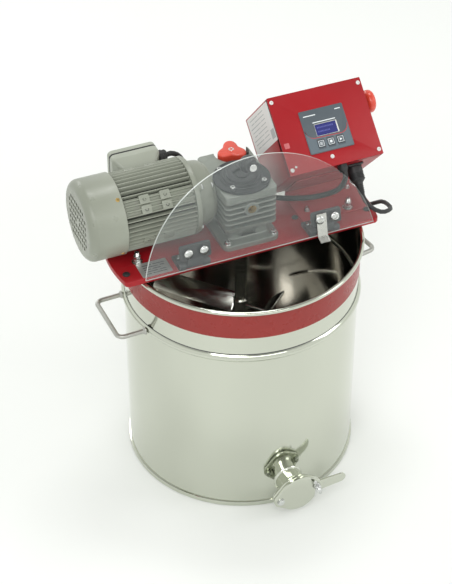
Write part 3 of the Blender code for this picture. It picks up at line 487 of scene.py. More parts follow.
def smooth_route(points, step):
    """Points about one step apart on a Catmull-Rom curve, with straight first and last runs."""
    path = [Vector(p) for p in points]
    path = [path[0] * 2 - path[1]] + path + [path[-1] * 2 - path[-2]]
    fine = []
    for a, b, c, d in zip(path, path[1:], path[2:], path[3:]):
        for k in range(16):
            t = k / 16
            fine.append(0.5 * (2 * b + (c - a) * t + (2 * a - 5 * b + 4 * c - d) * t * t
                + (3 * b - a - 3 * c + d) * t ** 3))
    fine.append(path[-2])
    length = sum((q - p).length for p, q in zip(fine, fine[1:]))
    count = max(2, round(length / step))
    out = [fine[0]]
    walked = 0
    for p, q in zip(fine, fine[1:]):
        piece = (q - p).length
        while len(out) < count and walked + piece >= length * len(out) / count:
            out.append(p.lerp(q, (length * len(out) / count - walked) / piece))
        walked += piece
    out.append(fine[-1])
    return out


def stands_for(ob, *nodes):
    """The object rides with, and is shown instead of, these CAD nodes."""
    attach(ob, BODY_OF[nodes[0]])
    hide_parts(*nodes)


def belongs(ob, body):
    """The object rides with a body but stands for no CAD node."""
    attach(ob, body)


# ---------------------------------------------------------------- camera, lights and floor

# In metres, and the lens in millimetres
CAMERA_AT = Vector((-0.954, -2.172, 2.2488))
CAMERA_TO = Vector((-0.02345, 0.01, 0.31626))
LENS, SENSOR = 109.69, 36
LAMPS_TO = Vector((0, 0, 0.3))
# Height of the view direction and brightness there, between the colours at the horizon and overhead
SKY_LOW, SKY_HIGH = (0.97, 0.99, 0.95, 1), (0.44, 0.445, 0.42, 1)
SKY_STEPS = ((0.4, 0.96), (0.64, 0.88), (0.76, 0.58), (0.86, 0.46))
# Name, place, width and height in metres, and power in watts
SOFT_BOXES = (("key", (-1.6, -2.2, 3.2), 1.6, 1.6, 34), ("fill", (2.8, -1.4, 2.2), 1.2, 1.8, 17),
              ("top", (0.4, 0.9, 3.4), 1, 0.6, 20), ("back", (-0.6, 3.2, 1.8), 1.6, 1, 15),
              ("front", (-0.35, -2.55, 2.4), 2.6, 0.35, 12))


def studio():
    """A long lens from above the front left, soft boxes, and a pale floor."""
    data = bpy.data.cameras.new("camera")
    data.lens = LENS
    data.sensor_width = SENSOR
    data.clip_end = 50
    camera = bpy.data.objects.new("camera", data)
    camera.location = CAMERA_AT
    camera.rotation_mode = "QUATERNION"
    camera.rotation_quaternion = (CAMERA_TO - CAMERA_AT).to_track_quat("-Z", "Y")
    link(camera)
    bpy.context.scene.camera = camera

    world = bpy.data.worlds.new("studio")
    world.use_nodes = True
    nodes, links = world.node_tree.nodes, world.node_tree.links
    sky = nodes.new("ShaderNodeTexCoord")
    height = nodes.new("ShaderNodeSeparateXYZ")
    links.new(sky.outputs["Generated"], height.inputs["Vector"])
    ramp = nodes.new("ShaderNodeValToRGB")
    stops = ramp.color_ramp.elements
    stops[0].color, stops[1].color = SKY_LOW, SKY_HIGH
    for place, shade in SKY_STEPS:
        stops.new(place).color = (shade, shade * 1.02, shade * 0.98, 1)
    links.new(height.outputs["Z"], ramp.inputs["Fac"])
    links.new(ramp.outputs["Color"], nodes["Background"].inputs["Color"])
    nodes["Background"].inputs["Strength"].default_value = 1
    bpy.context.scene.world = world
    bpy.context.scene.view_settings.view_transform = "Standard"

    for name, at, wide, tall, power in SOFT_BOXES:
        light = bpy.data.lights.new(name, "AREA")
        light.shape = "RECTANGLE"
        light.size = wide
        light.size_y = tall
        light.energy = power
        lamp = bpy.data.objects.new(name, light)
        lamp.location = at
        lamp.rotation_mode = "QUATERNION"
        lamp.rotation_quaternion = (LAMPS_TO - Vector(at)).to_track_quat("-Z", "Y")
        link(lamp)

    floor = block("studio_floor", (-9000, -9000, -12), (9000, 9000, -0.4), "studio_floor")


# ---------------------------------------------------------------- drum

def drum():
    inner = DRUM_R - DRUM_WALL
    curl = 3.8
    waves = 12

    def bead(radius, rising):
        steps = range(waves + 1) if rising else range(waves, -1, -1)
        return [(radius + BEAD_OUT * sin(pi * k / waves) ** 0.8, BEAD_Z - BEAD_HALF
            + 2 * BEAD_HALF * k / waves) for k in steps]

    def wall(radius, start, end):
        count = max(1, round(abs(end - start) / 24))
        return [(radius, start + (end - start) * k / count) for k in range(1, count)]

    foot = [(DRUM_R + out, z) for out, z in ((1.2, 0), (2.4, 0.6), (2.8, 2), (2.8, 7), (2.2, 8.6), (0.6, 9.2),
        (0, 9.4))]
    profile = foot + wall(DRUM_R, 9.4, BEAD_Z - BEAD_HALF) + bead(DRUM_R, True)
    profile += wall(DRUM_R, BEAD_Z + BEAD_HALF, RIM_TOP - 2 * curl)
    profile += arc(inner + curl, RIM_TOP - curl, curl, -125, 180, 18)
    profile += wall(inner, RIM_TOP - curl, BEAD_Z + BEAD_HALF) + bead(inner, False)
    profile += wall(inner, BEAD_Z - BEAD_HALF, 0) + [(inner, 0)]
    outlet = disc("cut", 22, DRUM_R - 30, DRUM_R + 30, "polished_steel", turn=gate_frame(), at=(0, 0, GATE_Z))
    shell = lathe("drum_wall", profile, "polished_steel", steps=200, cuts=[outlet])
    shell.data.materials.append(MATS["inner_steel"])
    # Faces inside the drum get the lighter copy of the steel, painted light
    for face in shell.data.polygons:
        if hypot(face.center.x, face.center.y) / MM < DRUM_R - 0.4 and face.center.z / MM < RIM_TOP - curl:
            face.material_index = 1
    for vert in shell.data.vertices:
        x, y, z = vert.co / MM
        if hypot(x, y) > DRUM_R - 2 and 12 < z < RIM_TOP - 12:
            swell = WAVE_HIGH * noise.noise(Vector((x * WAVE_AROUND, y * WAVE_AROUND, z * WAVE_UP)))
            vert.co.x += x / DRUM_R * swell * MM
            vert.co.y += y / DRUM_R * swell * MM
    lugs = []
    for sign in (-1, 1):
        ends = sorted((sign * (STUD_X - 8), sign * (inner - 0.5)))
        hole = disc("cut", 4.4, 420, 438, "brushed_steel", at=(sign * STUD_X, STUD_Y, 0))
        lugs.append(block("lug", (ends[0], STUD_Y - 11, 429), (ends[1], STUD_Y + 11, 432), "brushed_steel",
            cuts=[hole], bevel=0.8))
        lugs.append(block("web", (ends[0] if sign > 0 else ends[1] - 9, STUD_Y - 9.5, 418),
            (ends[0] + 9 if sign > 0 else ends[1], STUD_Y - 7.5, 429), "brushed_steel", bevel=0.5))
    seam_at = radians(118)
    out = spoke(seam_at)
    along = Vector((-out.y, out.x, 0))
    for start, end in ((10, BEAD_Z - 8), (BEAD_Z + 8, 382)):
        lugs.append(prism("seam", [(-1.6, 0), (-0.8, 0.35), (0.8, 0.35), (1.6, 0), (0, -0.5)], start, end,
            "brushed_steel", turn=(along, out, UP), at=out * DRUM_R))
    # A thin dark ring along the top of the bead: painted shade of the crease there
    line = BEAD_Z + BEAD_HALF
    lugs.append(lathe("bead_crease_shade", [(DRUM_R + 0.1, line), (DRUM_R + 0.5, line), (DRUM_R + 0.45, line + 1.1),
        (DRUM_R + 0.1, line + 1.3)], "cap_grey", steps=200))
    stands_for(merge("drum_wall", [shell] + lugs), "drum_shell")

    fit = inner - GAP
    # The floor gets the same lighter steel, painted light
    stands_for(lathe("drum_floor", [(0, 0.4), (fit - 12, 0.4), (fit - 8, 0), (fit - 2, 0), (fit - 0.4, 0.6),
        (fit, 2), (fit, 9), (fit - 1.2, 9), (fit - 1.2, 3.4), (fit - 2.4, 1.8), (fit - 4, 1.2), (0, 1.2)],
        "inner_steel", steps=160), "drum_bottom")
    face = DRUM_R + 2 * GAP
    base, top = low("red_band").z, high("red_band").z
    band = lathe("band", [(face, base), (face + 0.5, base + 0.1), (face + 0.5, top - 0.1), (face, top)],
        "red_vinyl", steps=200)
    lap = prism("lap", [(face * cos(radians(a)), face * sin(radians(a))) for a in (100, 102, 104, 106, 108)]
        + [((face + 0.85) * cos(radians(a)), (face + 0.85) * sin(radians(a)))
        for a in (108, 106, 104, 102, 100)], base, top, "red_vinyl")
    stands_for(merge("vinyl_band", [band, lap]), "red_band")
    for side, angle in (("left", radians(181.5)), ("right", radians(10))):
        handle(side, angle)


def handle(side, angle):
    out = spoke(angle)
    across = Vector((-out.y, out.x, 0))
    half, reach, bend, radius = 52, 246, 11, 4
    wall = sqrt((DRUM_R + BEAD_OUT) ** 2 - half ** 2) + 1
    flat = [(wall, -half)] + arc(reach - bend, -half + bend, bend, -90, 0, 10)
    flat += arc(reach - bend, half - bend, bend, 0, 90, 10) + [(wall, half)]
    points = [out * a + across * b + UP * BEAD_Z for a, b in flat]
    parts = [rod("bar", points, radius, "handle_steel", 8)]
    for b in (-half, half):
        foot = out * (wall - 0.5) + across * b + UP * BEAD_Z
        parts.append(lathe("weld", [(0, -1), (6.6, -0.6), (6.9, 0.6), (6, 2.2), (4.8, 3.6), (4.1, 4.4),
            (0, 4.4)], "handle_steel", turn=(across, UP, out), at=foot, steps=32))
    stands_for(merge(f"handle_{side}_bar", parts), f"handle_{side}")


# ---------------------------------------------------------------- honey gate

def gate_outline(disc, ear):
    bx, bz = GATE_BOLT
    return hull([(0, 0, disc), (bx, bz, ear), (-bx, -bz, ear)])


def gate_frame():
    """Right, up and outward axes of the honey gate."""
    return (RIGHT * cos(GATE_ANGLE) + BACK * sin(GATE_ANGLE), UP, RIGHT * sin(GATE_ANGLE)
        - BACK * cos(GATE_ANGLE))


def honey_gate():
    bx, bz = GATE_BOLT
    turn = gate_frame()
    centre = (0, 0, GATE_Z)
    here = {"turn": turn, "at": centre}
    steel = "polished_steel"
    flange_in, flange_out = GATE_FLANGE_OUT, GATE_FLANGE_OUT + 6
    plate_in, plate_out = GATE_PLATE_OUT, GATE_PLATE_OUT + 6
    pipe, bore = 24, 22

    def beside(sign):
        return in_turn(turn, centre, sign * bx, sign * bz, 0)

    def bolt_hole(sign):
        return disc("cut", 3.4, 210, 270, steel, turn=turn, at=beside(sign), steps=32)

    bored = disc("cut", bore, 190, 260, steel, **here)
    flange = prism("flange", gate_outline(33, 10), flange_in, flange_out, steel, **here,
        cuts=[bored, bolt_hole(-1), bolt_hole(1)], bevel=0.8, segments=3)
    pipe_part = lathe("pipe", [(bore, 200.8), (pipe, 200.8), (pipe, 219), (pipe + 0.6, 223),
        (pipe + 1.6, 226), (pipe + 3, flange_in + 0.4), (bore, flange_in + 0.4)], steel, **here, steps=96)
    weld = []
    for radius, lift in ((26.6, -0.1), (26.2, 0.8), (25.4, 1.5), (24.6, 2.2), (24, 2.8), (23.6, -1)):
        ring = []
        for k in range(96):
            a = 2 * pi * k / 96
            r = radius + (0.15 * sin(24 * a) if 24 < radius < 26.5 else 0)
            x = r * cos(a)
            ring.append(in_turn(turn, centre, x, r * sin(a), sqrt(DRUM_R ** 2 - x * x) + lift))
        weld.append(ring)
    fillet = loft("weld", weld, steel, closed=True)
    stands_for(merge("gate_pipe", [flange, pipe_part, fillet]), "gate_spout")
    stands_for(lathe("gate_gasket", [(24, flange_out + GAP), (28, flange_out + GAP), (28.3, flange_out + 1),
        (28, plate_in - GAP), (24, plate_in - GAP)], "black_rubber", **here), "gate_seal")

    reach = 2 * hypot(bx, bz)
    start = atan2(bz, bx) * 180 / pi
    notch = arc(-bx, -bz, reach + 3.8, start - 32, start, 16)
    notch += arc(bx, bz, 3.8, start, start + 180, 16)[1:-1]
    notch += arc(-bx, -bz, reach - 3.8, start, start - 32, 16)
    cut_notch = prism("cut", notch, 220, 270, steel, **here)
    lever = prism("lever", hull([(36, 2.5, 11.3), (81.5, 4.5, 9.3)]), plate_in + 2, plate_out - 1.5, steel,
        **here)
    plate = prism("gate_slide", gate_outline(35.5, 11), plate_in, plate_out, steel, **here, adds=[lever],
        cuts=[bolt_hole(-1), cut_notch], bevel=0.9, segments=3)
    stands_for(plate, "gate_plate")

    back = flange_in - 0.4
    top = plate_out + GAP
    zinc = "zinc_steel"
    for tag, sign in (("pivot", -1), ("clamp", 1)):
        profile = [(0, back - 5.6), (4.6, back - 5.6), (5.8, back - 4.8, 6), (5.8, back, 6), (3, back),
            (3, top)]
        if sign < 0:
            profile += [(6.6, top), (6.6, top + 0.8), (6, top + 0.8, 6), (6, top + 3.1, 6), (4.9, top + 3.5),
                (3, top + 3.5), (2.6, top + 3.8), (0, top + 3.8)]
        else:
            thread = [(3 - 0.4 * (k % 2), top + 9 + k * 0.5) for k in range(11)]
            profile += [(3, top + 9)] + thread[1:] + [(2.4, top + 14.6), (0, top + 14.6)]
        stands_for(lathe(f"gate_{tag}_screw", profile, zinc, turn=turn, at=beside(sign), steps=48, angle=25),
            f"gate_{tag}_bolt")
    parts = [lathe("hub", [(3.3, 0), (6.6, 0), (6.9, 0.5), (6.2, 4), (5.4, 8), (4.9, 8.6), (3.3, 8.6)], zinc,
        lift=top, turn=turn, at=beside(1), steps=48)]
    tilt = radians(-62)
    along = turn[0] * cos(tilt) + UP * sin(tilt)
    side = -turn[0] * sin(tilt) + UP * cos(tilt)
    for sign in (1, -1):
        wing = hull([(-15.8 * sign, 2 * sign, 3), (-11 * sign, 1 * sign, 2.2), (-4.5 * sign, 0, 1.9)], 40)
        parts.append(prism("wing", wing, top + 3.4, top + 5.8, zinc, turn=(along, side, turn[2]),
            at=beside(1), bevel=0.9, segments=3))
    stands_for(merge("gate_butterfly_nut", parts), "gate_wing_nut")


# ---------------------------------------------------------------- beam, hinges and lid

def beam():
    def outline(inset):
        half = BEAM_HALF_Y - inset
        radius = BEAM_END_R - inset
        swing = asin(half / radius) * 180 / pi
        corner = 4
        trim = corner / radius * 180 / pi
        edge = sqrt(radius ** 2 - half ** 2) - corner
        return ([(edge, -half)] + arc(0, 0, radius, -swing + trim, swing - trim, 24)
            + [(edge, half), (-edge, half)] + arc(0, 0, radius, 180 - swing + trim, 180 + swing - trim, 24)
            + [(-edge, -half)])

    sheet = 2.5
    loops = [[(a, b, z) for a, b in outline(inset)] for inset, z in ((sheet, BEAM_TOP - sheet),
        (sheet, BEAM_LOW), (0, BEAM_LOW), (0, BEAM_TOP))]
    holes = [disc("cut", r, 420, 470, "red_paint", at=(x, y, 0), steps=32)
        for x, y, r in ((0, 0, 17), (-STUD_X, STUD_Y, 4.4), (STUD_X, STUD_Y, 4.4))]
    stands_for(loft("cross_beam", loops, "red_paint", cuts=holes, bevel=1.1, segments=3), "beam")

    for side, sign in (("left", -1), ("right", 1)):
        z = BEAM_TOP + GAP
        thread = [(3.9 - 0.45 * (k % 2), z + 13.4 + k * 0.55) for k in range(13)]
        profile = [(0, 423), (5.2, 423), (6.4, 423.8, 6), (6.4, 428.4, 6), (4, 428.6), (4, z), (9, z),
            (9, z + 1.4), (6.6, z + 1.5), (6.6, z + 2, 6), (6.6, z + 6.2, 6), (5.4, z + 6.8), (5.4, z + 7.2),
            (6.6, z + 7.8, 6), (6.6, z + 12.4, 6), (5.4, z + 13)] + thread
        profile += [(3.2, z + 20.6), (0, z + 20.6)]
        stands_for(lathe(f"stud_{side}", profile, "zinc_steel", at=(sign * STUD_X, STUD_Y, 0), steps=48,
            angle=25), f"beam_stud_{side}")
    rear = arc(0, 0, 205, asin(61 / 205) * 180 / pi, 180 - asin(61 / 205) * 180 / pi, 96)
    stands_for(prism("rear_half_cover", rear, BEAM_LOW, BEAM_LOW + 1.2, "brushed_steel", bevel=0.3),
        "rear_cover")

    extras = []
    for x, y, r in ((-219, -37, 6.2), (97, -4, 5.6), (219, -30, 6.2)):
        extras.append(lathe("plug", [(0, 0.1), (r, 0.1), (r, 1.2), (r * 0.75, 2.6), (r * 0.4, 3.1), (0, 3.1)],
            "black_rubber", at=(x, y, BEAM_TOP), steps=32))
    belongs(merge("beam_plugs", extras), "machine")
    plate = [prism("plate", rounded(-197, -57, -145, -20, 2), BEAM_TOP + 0.1, BEAM_TOP + 0.6, "label_silver")]
    for row in range(5):
        start = -189
        for wide in ((16, 20), (26, 8), (12, 14), (22, 12), (9, 24))[row]:
            plate.append(block("bar", (start, -29 - row * 5.6, BEAM_TOP + 0.6),
                (start + wide, -27 - row * 5.6, BEAM_TOP + 0.72), "print_grey"))
            start += wide + 3
    belongs(merge("rating_plate", plate), "machine")
    nuts = [lathe("nut", [(0, 0), (5.5, 0), (5.5, 0.9), (4.6, 1, 6), (4.6, 4.4, 6), (3.6, 4.9), (2.6, 4.9),
        (2.6, 7.5), (0, 7.8)], "zinc_steel", at=(x, y, z), steps=36, angle=25)
        for x, y, z in ((123, 4, BEAM_TOP + 2.4), (214, 38, BEAM_TOP + 2.4), (123, 40, BEAM_TOP + 2.4))]
    belongs(merge("bracket_nuts", nuts), "machine")


def lid_point(x, v, out):
    return Vector((x, HINGE.y, HINGE.z)) + LID_TURN[1] * v + LID_TURN[2] * out


def lid():
    inner = HINGE_TO_LID
    centre_v = LID_DEPTH - LID_R
    start = asin(-centre_v / LID_R) * 180 / pi
    outline = arc(0, centre_v - 1, LID_R, start, 180 - start, 120)
    at = (HINGE.x, HINGE.y, HINGE.z)
    hole = disc("cut", 3.3, -40, 40, "clear_acrylic", turn=LID_TURN, at=lid_point(LID_KNOB_X, LID_KNOB_UP, 0),
        steps=24)
    # The sheet's sides get the light edge material, a painted glint
    sheet = prism("lid_window", outline, inner - LID_T, inner, ["clear_acrylic", "acrylic_edge_glint"],
        turn=LID_TURN, at=at, side=1, cuts=[hole], bevel=0.35)
    stands_for(sheet, "front_lid")
    back = inner - LID_T - GAP
    grip = lathe("grip", [(0, -27), (7, -26.8), (11, -25.6), (14, -22.5), (15, -19), (14.4, -15.5),
        (11.8, -11.5), (9.2, -7), (9, -4), (10.6, -1), (11, 0), (0, 0)], "dark_plastic", lift=back,
        turn=LID_TURN, at=lid_point(LID_KNOB_X, LID_KNOB_UP, 0), steps=64)
    screw = head("dome", lid_point(LID_KNOB_X, LID_KNOB_UP, inner + 0.1), LID_TURN, 6.2, 0.8, "zinc_steel")
    stands_for(merge("lid_grip", [grip, screw]), "lid_knob")
    for side, x in zip(("left", "right"), HINGE_X):
        hinge(side, x)
    switch()


def hinge(side, x):
    half, knuckle, pin = 27, 5.2, 2.2
    back = HINGE_TO_LID - LID_T - GAP
    pivot = Vector((x, HINGE.y, HINGE.z))
    across = {"turn": TURN_X, "at": pivot}
    dark = "dark_plastic"
    foot = BEAM_TOP + GAP - HINGE.z
    gap = block("cut", (x - 14.5, HINGE.y - 20, HINGE.z - 20), (x + 14.5, HINGE.y + 7.5, HINGE.z + 20), dark)
    base = prism("base", [(-2, foot), (34, foot), (34, -1), (9, 2.4), (-2, 2.4)], -half, half, dark, **across,
        cuts=[gap], bevel=0.9, segments=3)
    parts = [base]
    for ends in ((-half, -14.5), (14.5, half)):
        parts.append(lathe("knuckle", [(0, ends[0]), (knuckle - 0.5, ends[0]), (knuckle, ends[0] + 0.5),
            (knuckle, ends[1] - 0.5), (knuckle - 0.5, ends[1]), (0, ends[1])], dark, **across, steps=40))
    parts.append(disc("pin", pin, -14.6, 14.6, "zinc_steel", **across, steps=24))
    for dx in (-18, 18):
        parts.append(head("socket", pivot + Vector((dx, 23, foot + 7.4)), TURN_Z, 4.6, 3.2, "zinc_steel"))
    stands_for(merge(f"hinge_{side}_foot", parts), f"hinge_{side}_base")

    plate = prism("plate", rounded(-half, 13.5, half, 40, 4), back - 5, back, dark, turn=LID_TURN, at=pivot,
        bevel=0.9, segments=3)
    neck = prism("neck", [(-13.7, 3), (13.7, 3), (13.7, 16), (-13.7, 16)], 2.5, back, dark, turn=LID_TURN,
        at=pivot, bevel=0.6)
    barrel = lathe("barrel", [(pin + GAP, -13.8), (knuckle - 0.5, -13.8), (knuckle, -13.3), (knuckle, 13.3),
        (knuckle - 0.5, 13.8), (pin + GAP, 13.8)], dark, **across, steps=40)
    parts = [plate, neck, barrel]
    for dx in (-13.5, 13.5):
        spot = lid_point(x + dx, 27, 0)
        parts.append(head("button", spot + LID_TURN[2] * (HINGE_TO_LID + 0.1), LID_TURN, 8, 3.6,
            "zinc_steel"))
        parts.append(lathe("nut", [(0, back - 9.5), (3.4, back - 9.5, 6), (4.6, back - 9, 6),
            (4.6, back - 5, 6), (0, back - 5)], "zinc_steel", turn=LID_TURN, at=spot, steps=36))
    stands_for(merge(f"hinge_{side}_flap", parts), f"hinge_{side}_leaf")


def switch():
    tab_x = HINGE_X[1] - 11
    face = HINGE_TO_LID + GAP
    across, up, normal = LID_TURN
    profile = [(38, face), (38, face + 1.5), (-1.5, face + 1.5), (-9, face + 12), (-10.3, face + 11.2),
        (-2.3, face)]
    tab = prism("tab", profile, -9, 9, "brushed_steel", turn=(up, normal, across),
        at=(tab_x, HINGE.y, HINGE.z), bevel=0.35)
    stands_for(tab, "lid_switch_tab")
    near, far = low("lid_switch"), high("lid_switch")
    stands_for(block("safety_switch", near, far, "black_rubber", bevel=1.2, segments=3), "lid_switch")


# ---------------------------------------------------------------- geared motor

def gearbox():
    cast = "cast_aluminium"
    gear_low, gear_top = low("gearbox_housing").z, high("gearbox_housing").z
    front, rear = low("gearbox_housing").y, high("gearbox_housing").y
    half = high("gearbox_housing").x
    seat = BEAM_TOP + GAP

    def ring(a, b, z, r, count=8):
        return [(x, y, z) for x, y in rounded(-a, -b, a, b, r, count)]

    levels = ((50, 48, seat, 12), (50, 48, seat + 8.5, 12), (48.8, 46.8, seat + 9.7, 12),
        (37, 33, seat + 10.2, 10), (35.5, 31.5, seat + 12, 10), (35, 31, seat + 20, 10),
        (38, 36, seat + 30, 12), (39, 37.5, gear_low - GAP, 12))
    bore = disc("cut", 16, 430, 500, cast)
    arch = [(-12, 463), (12, 463)] + arc(0, 471, 12, 0, 180, 16)
    windows = [prism("cut", arch, -60, -24, cast, turn=TURN_DEEP),
        prism("cut", arch, 24, 60, cast, turn=TURN_DEEP), prism("cut", arch, -60, -27, cast, turn=TURN_X),
        prism("cut", arch, 27, 60, cast, turn=TURN_X)]
    parts = [loft("foot", [ring(*level) for level in levels], cast, cuts=[bore] + windows, bevel=0.5)]
    for x, y in ((-41, -39), (41, -39), (-41, 39), (41, 39)):
        parts.append(disc("washer", 6.4, seat + 9.4, seat + 10.6, "zinc_steel", at=(x, y, 0), steps=32))
        parts.append(head("socket", (x, y, seat + 10.6), TURN_Z, 5, 5.6, "zinc_steel"))
    stands_for(merge("gearbox_pedestal", parts), "gearbox_foot")

    levels = [(3, gear_low), (0.6, gear_low + 1.2), (0, gear_low + 3), (0, gear_low + 7)]
    fins = 5
    pitch = (gear_top - gear_low - 20) / fins
    for k in range(fins):
        z = gear_low + 8 + k * pitch
        levels += [(8, z), (8, z + pitch * 0.46), (1.2, z + pitch * 0.58), (0.2, z + pitch * 0.66),
            (0, z + pitch * 0.84), (1, z + pitch * 0.94)]
    levels += [(0, gear_top - 11), (0, gear_top - 1), (1, gear_top)]
    loops = []
    for inset, z in levels:
        loops.append([(x, y, z) for x, y in rounded(-half + inset, front + inset, half - inset, rear - inset,
            8, 8)])

    def pocket():
        deck = low("star_knob").z - GAP
        return disc("cut", 30, deck, gear_top + 10, cast, at=(*KNOB_AT, 0), steps=64)

    body = loft("body", loops, cast, angle=25, cuts=[pocket()])
    body.data.materials.append(MATS["painted_shade_grey"])
    # Faces deep in the grooves between the gearbox fins get the painted shade colour
    for face in body.data.polygons:
        spot = face.center / MM
        depth = min(half - abs(spot.x), spot.y - front, rear - spot.y)
        if 6 < depth < 10 and gear_low + 7.5 < spot.z < gear_top - 14 and abs(face.normal.z) < 0.1:
            face.material_index = 1
    parts = [body]
    for x in (-half + 8.5, half - 8.5):
        for y in (front + 8.5, rear - 8.5):
            parts.append(lathe("post", [(0, -17), (6, -17), (8.4, -13), (8.4, -1), (7.6, 0.1), (0, 0.1)],
                cast, lift=gear_top, at=(x, y, 0), steps=40, cuts=[pocket()]))
    boss_z = MOTOR_AT.z + 3
    parts.append(lathe("boss", [(0, 36), (13, 36), (13, -front - 0.9), (12, -front), (0, -front)], cast,
        turn=TURN_FRONT, at=(0, 0, boss_z), steps=48))
    parts.append(lathe("oil_plug", [(0, -front), (7.5, -front), (7.5, -front + 0.1), (6.3, -front + 0.1, 6),
        (6.3, -front + 0.2, 6), (0, -front + 0.2)], "brass", turn=TURN_FRONT, at=(0, 0, boss_z), steps=48))
    parts.append(lathe("side_cap", [(0, half - 2), (29, half - 2), (29, half - 0.6), (27, half), (20, half),
        (19, half - 1.2), (0, half - 1.2)], "cap_grey", **ON_MOTOR, steps=64))
    stands_for(merge("gearbox_casting", parts), "gearbox_housing")

    z = gear_top + GAP
    cap = lathe("cap", [(0, 0), (46.8, 0), (47.5, 0.8), (47.5, 3.4), (46.6, 4), (37, 4.2), (36, 5.6),
        (32, 5.8), (31, 7.4), (26, 7.6), (25, 9.6), (23.8, 10), (15, 10), (14, 9.4), (13.4, 6.4), (9.5, 6.2),
        (9, 8), (0, 8)], "cap_grey", lift=z, steps=96, angle=28)
    parts = [cap]
    for k in range(4):
        a = radians(45 + 90 * k)
        spot = Vector((39.5 * cos(a), 39.5 * sin(a), z + 3.6))
        parts.append(lathe("ear", [(0, 0), (7, 0), (7, 1.6), (6.3, 2.2), (0, 2.2)], "cap_grey", at=spot,
            steps=32))
        parts.append(head("socket", spot + UP * 2.2, TURN_Z, 4.2, 3.6, "zinc_steel"))
    stands_for(merge("gearbox_top_cap", parts), "gearbox_cap")

    knob_low, knob_high = low("star_knob"), high("star_knob")
    lobes = []
    for k in range(96):
        a = 2 * pi * k / 96
        radius = 21.2 + 5.3 * cos(3 * (a - radians(75)))
        lobes.append((KNOB_AT[0] + radius * cos(a), KNOB_AT[1] + radius * sin(a)))
    body = prism("lobes", lobes, knob_high.z - 15, knob_high.z - 0.3, "signal_red", bevel=3.2, segments=5)
    stem = lathe("stem", [(0, knob_low.z), (8, knob_low.z), (8, knob_low.z + 1), (6.6, knob_low.z + 1.2),
        (6.6, knob_high.z - 15), (0, knob_high.z - 15)], "signal_red", at=(*KNOB_AT, 0), steps=40)
    screw = head("socket", (*KNOB_AT, knob_high.z - 1.6), TURN_Z, 5, 1.4, "zinc_steel")
    stands_for(merge("tension_knob", [body, stem, screw]), "star_knob")


def motor():
    paint = "motor_grey"
    x0, x1 = FRAME_X
    fins = 48
    outline = []
    for k in range(fins):
        a = 2 * pi * (k + 0.5) / fins
        half_root, half_tip = 0.021, 0.014
        fill = 7.5 if 126 < a * 180 / pi < 158 else 0
        for swing, radius in ((-pi / fins * 0.999, 53 + fill), (-half_root * 1.5, 53.6 + fill),
                (-half_root, 55.5 + fill), (-half_tip, 64.8), (-half_tip * 0.5, FRAME_R),
                (half_tip * 0.5, FRAME_R), (half_tip, 64.8), (half_root, 55.5 + fill),
                (half_root * 1.5, 53.6 + fill)):
            outline.append((radius * cos(a + swing), radius * sin(a + swing)))
    inner = [(48 * cos(atan2(b, a)), 48 * sin(atan2(b, a))) for a, b in outline]
    loops = [[in_turn(TURN_X, MOTOR_AT, a, b, x) for a, b in ring]
        for ring, x in ((outline, x0 + 0.3), (outline, x1 - 0.3), (inner, x1 - 0.3), (inner, x0 + 0.3))]
    ribs = loft("ribs", loops, paint, closed=True, angle=28)
    ribs.data.materials.append(MATS["painted_shade_grey"])
    # Faces at the fin roots, under 56 mm from the axis, get the painted shade colour
    for face in ribs.data.polygons:
        spot = face.center / MM - MOTOR_AT
        if hypot(spot.y, spot.z) < 56:
            face.material_index = 1
    parts = [ribs]
    for x in (x0 + 35.5, x1 - 48.5):
        for a in (66, 133, 148, -126, -160, -20):
            out = BACK * cos(radians(a)) + UP * sin(radians(a))
            side = -BACK * sin(radians(a)) + UP * cos(radians(a))
            at = MOTOR_AT + RIGHT * x
            parts.append(prism("pad", rounded(-8.6, -7.4, 8.6, 7.4, 2, 4), 50, 65.6, paint,
                turn=(RIGHT, side, out), at=at, bevel=0.8))
            parts.append(head("socket", at + out * 64, (RIGHT, side, out), 3.4, 1.6, "cap_grey"))
    stands_for(merge("motor_ribs", parts), "motor_frame")

    gear_side = -46.3
    shield = lathe("bell", [(21, x1 + 0.1), (62, x1 + 0.1), (65.4, x1 + 1), (66, x1 + 3), (66, x1 + 8),
        (65, x1 + 9.4), (60, x1 + 10), (57, x1 + 12), (55.5, x1 + 18), (54.5, x1 + 26), (53.4, -56),
        (52, -53), (46.5, -50.5), (46, gear_side), (21, gear_side)], paint, **ON_MOTOR, steps=96, angle=28)
    parts = [shield]
    for k in range(4):
        a = radians(45 + 90 * k)
        out = spoke(a, BACK, UP)
        parts.append(prism("lug", hull([(0, 0, 7.5), (-9, 0, 9)], 40), x1 + 9, x1 + 15, paint,
            turn=(out, out.cross(RIGHT), RIGHT), at=MOTOR_AT + out * 56, bevel=0.8))
        parts.append(head("hex", MOTOR_AT + out * 56 + RIGHT * (x1 + 15), TURN_X, 4.6, 3.8, "zinc_steel"))
    for k in range(4):
        a = radians(45 + 90 * k)
        spot = MOTOR_AT + (spoke(a, BACK, UP)) * 47.5 + RIGHT * -52.4
        parts.append(head("hex", spot, TURN_X, 4.2, 3.4, "zinc_steel"))
    stands_for(merge("motor_front_shield", parts), "drive_end_shield")
    stands_for(lathe("motor_rear_shield", [(9, -9), (60, -9), (63.4, -7.4), (64, -5), (64, -0.3), (9, -0.3)],
        paint, lift=x0, **ON_MOTOR, steps=96), "fan_end_shield")
    cowl()
    terminal_box()


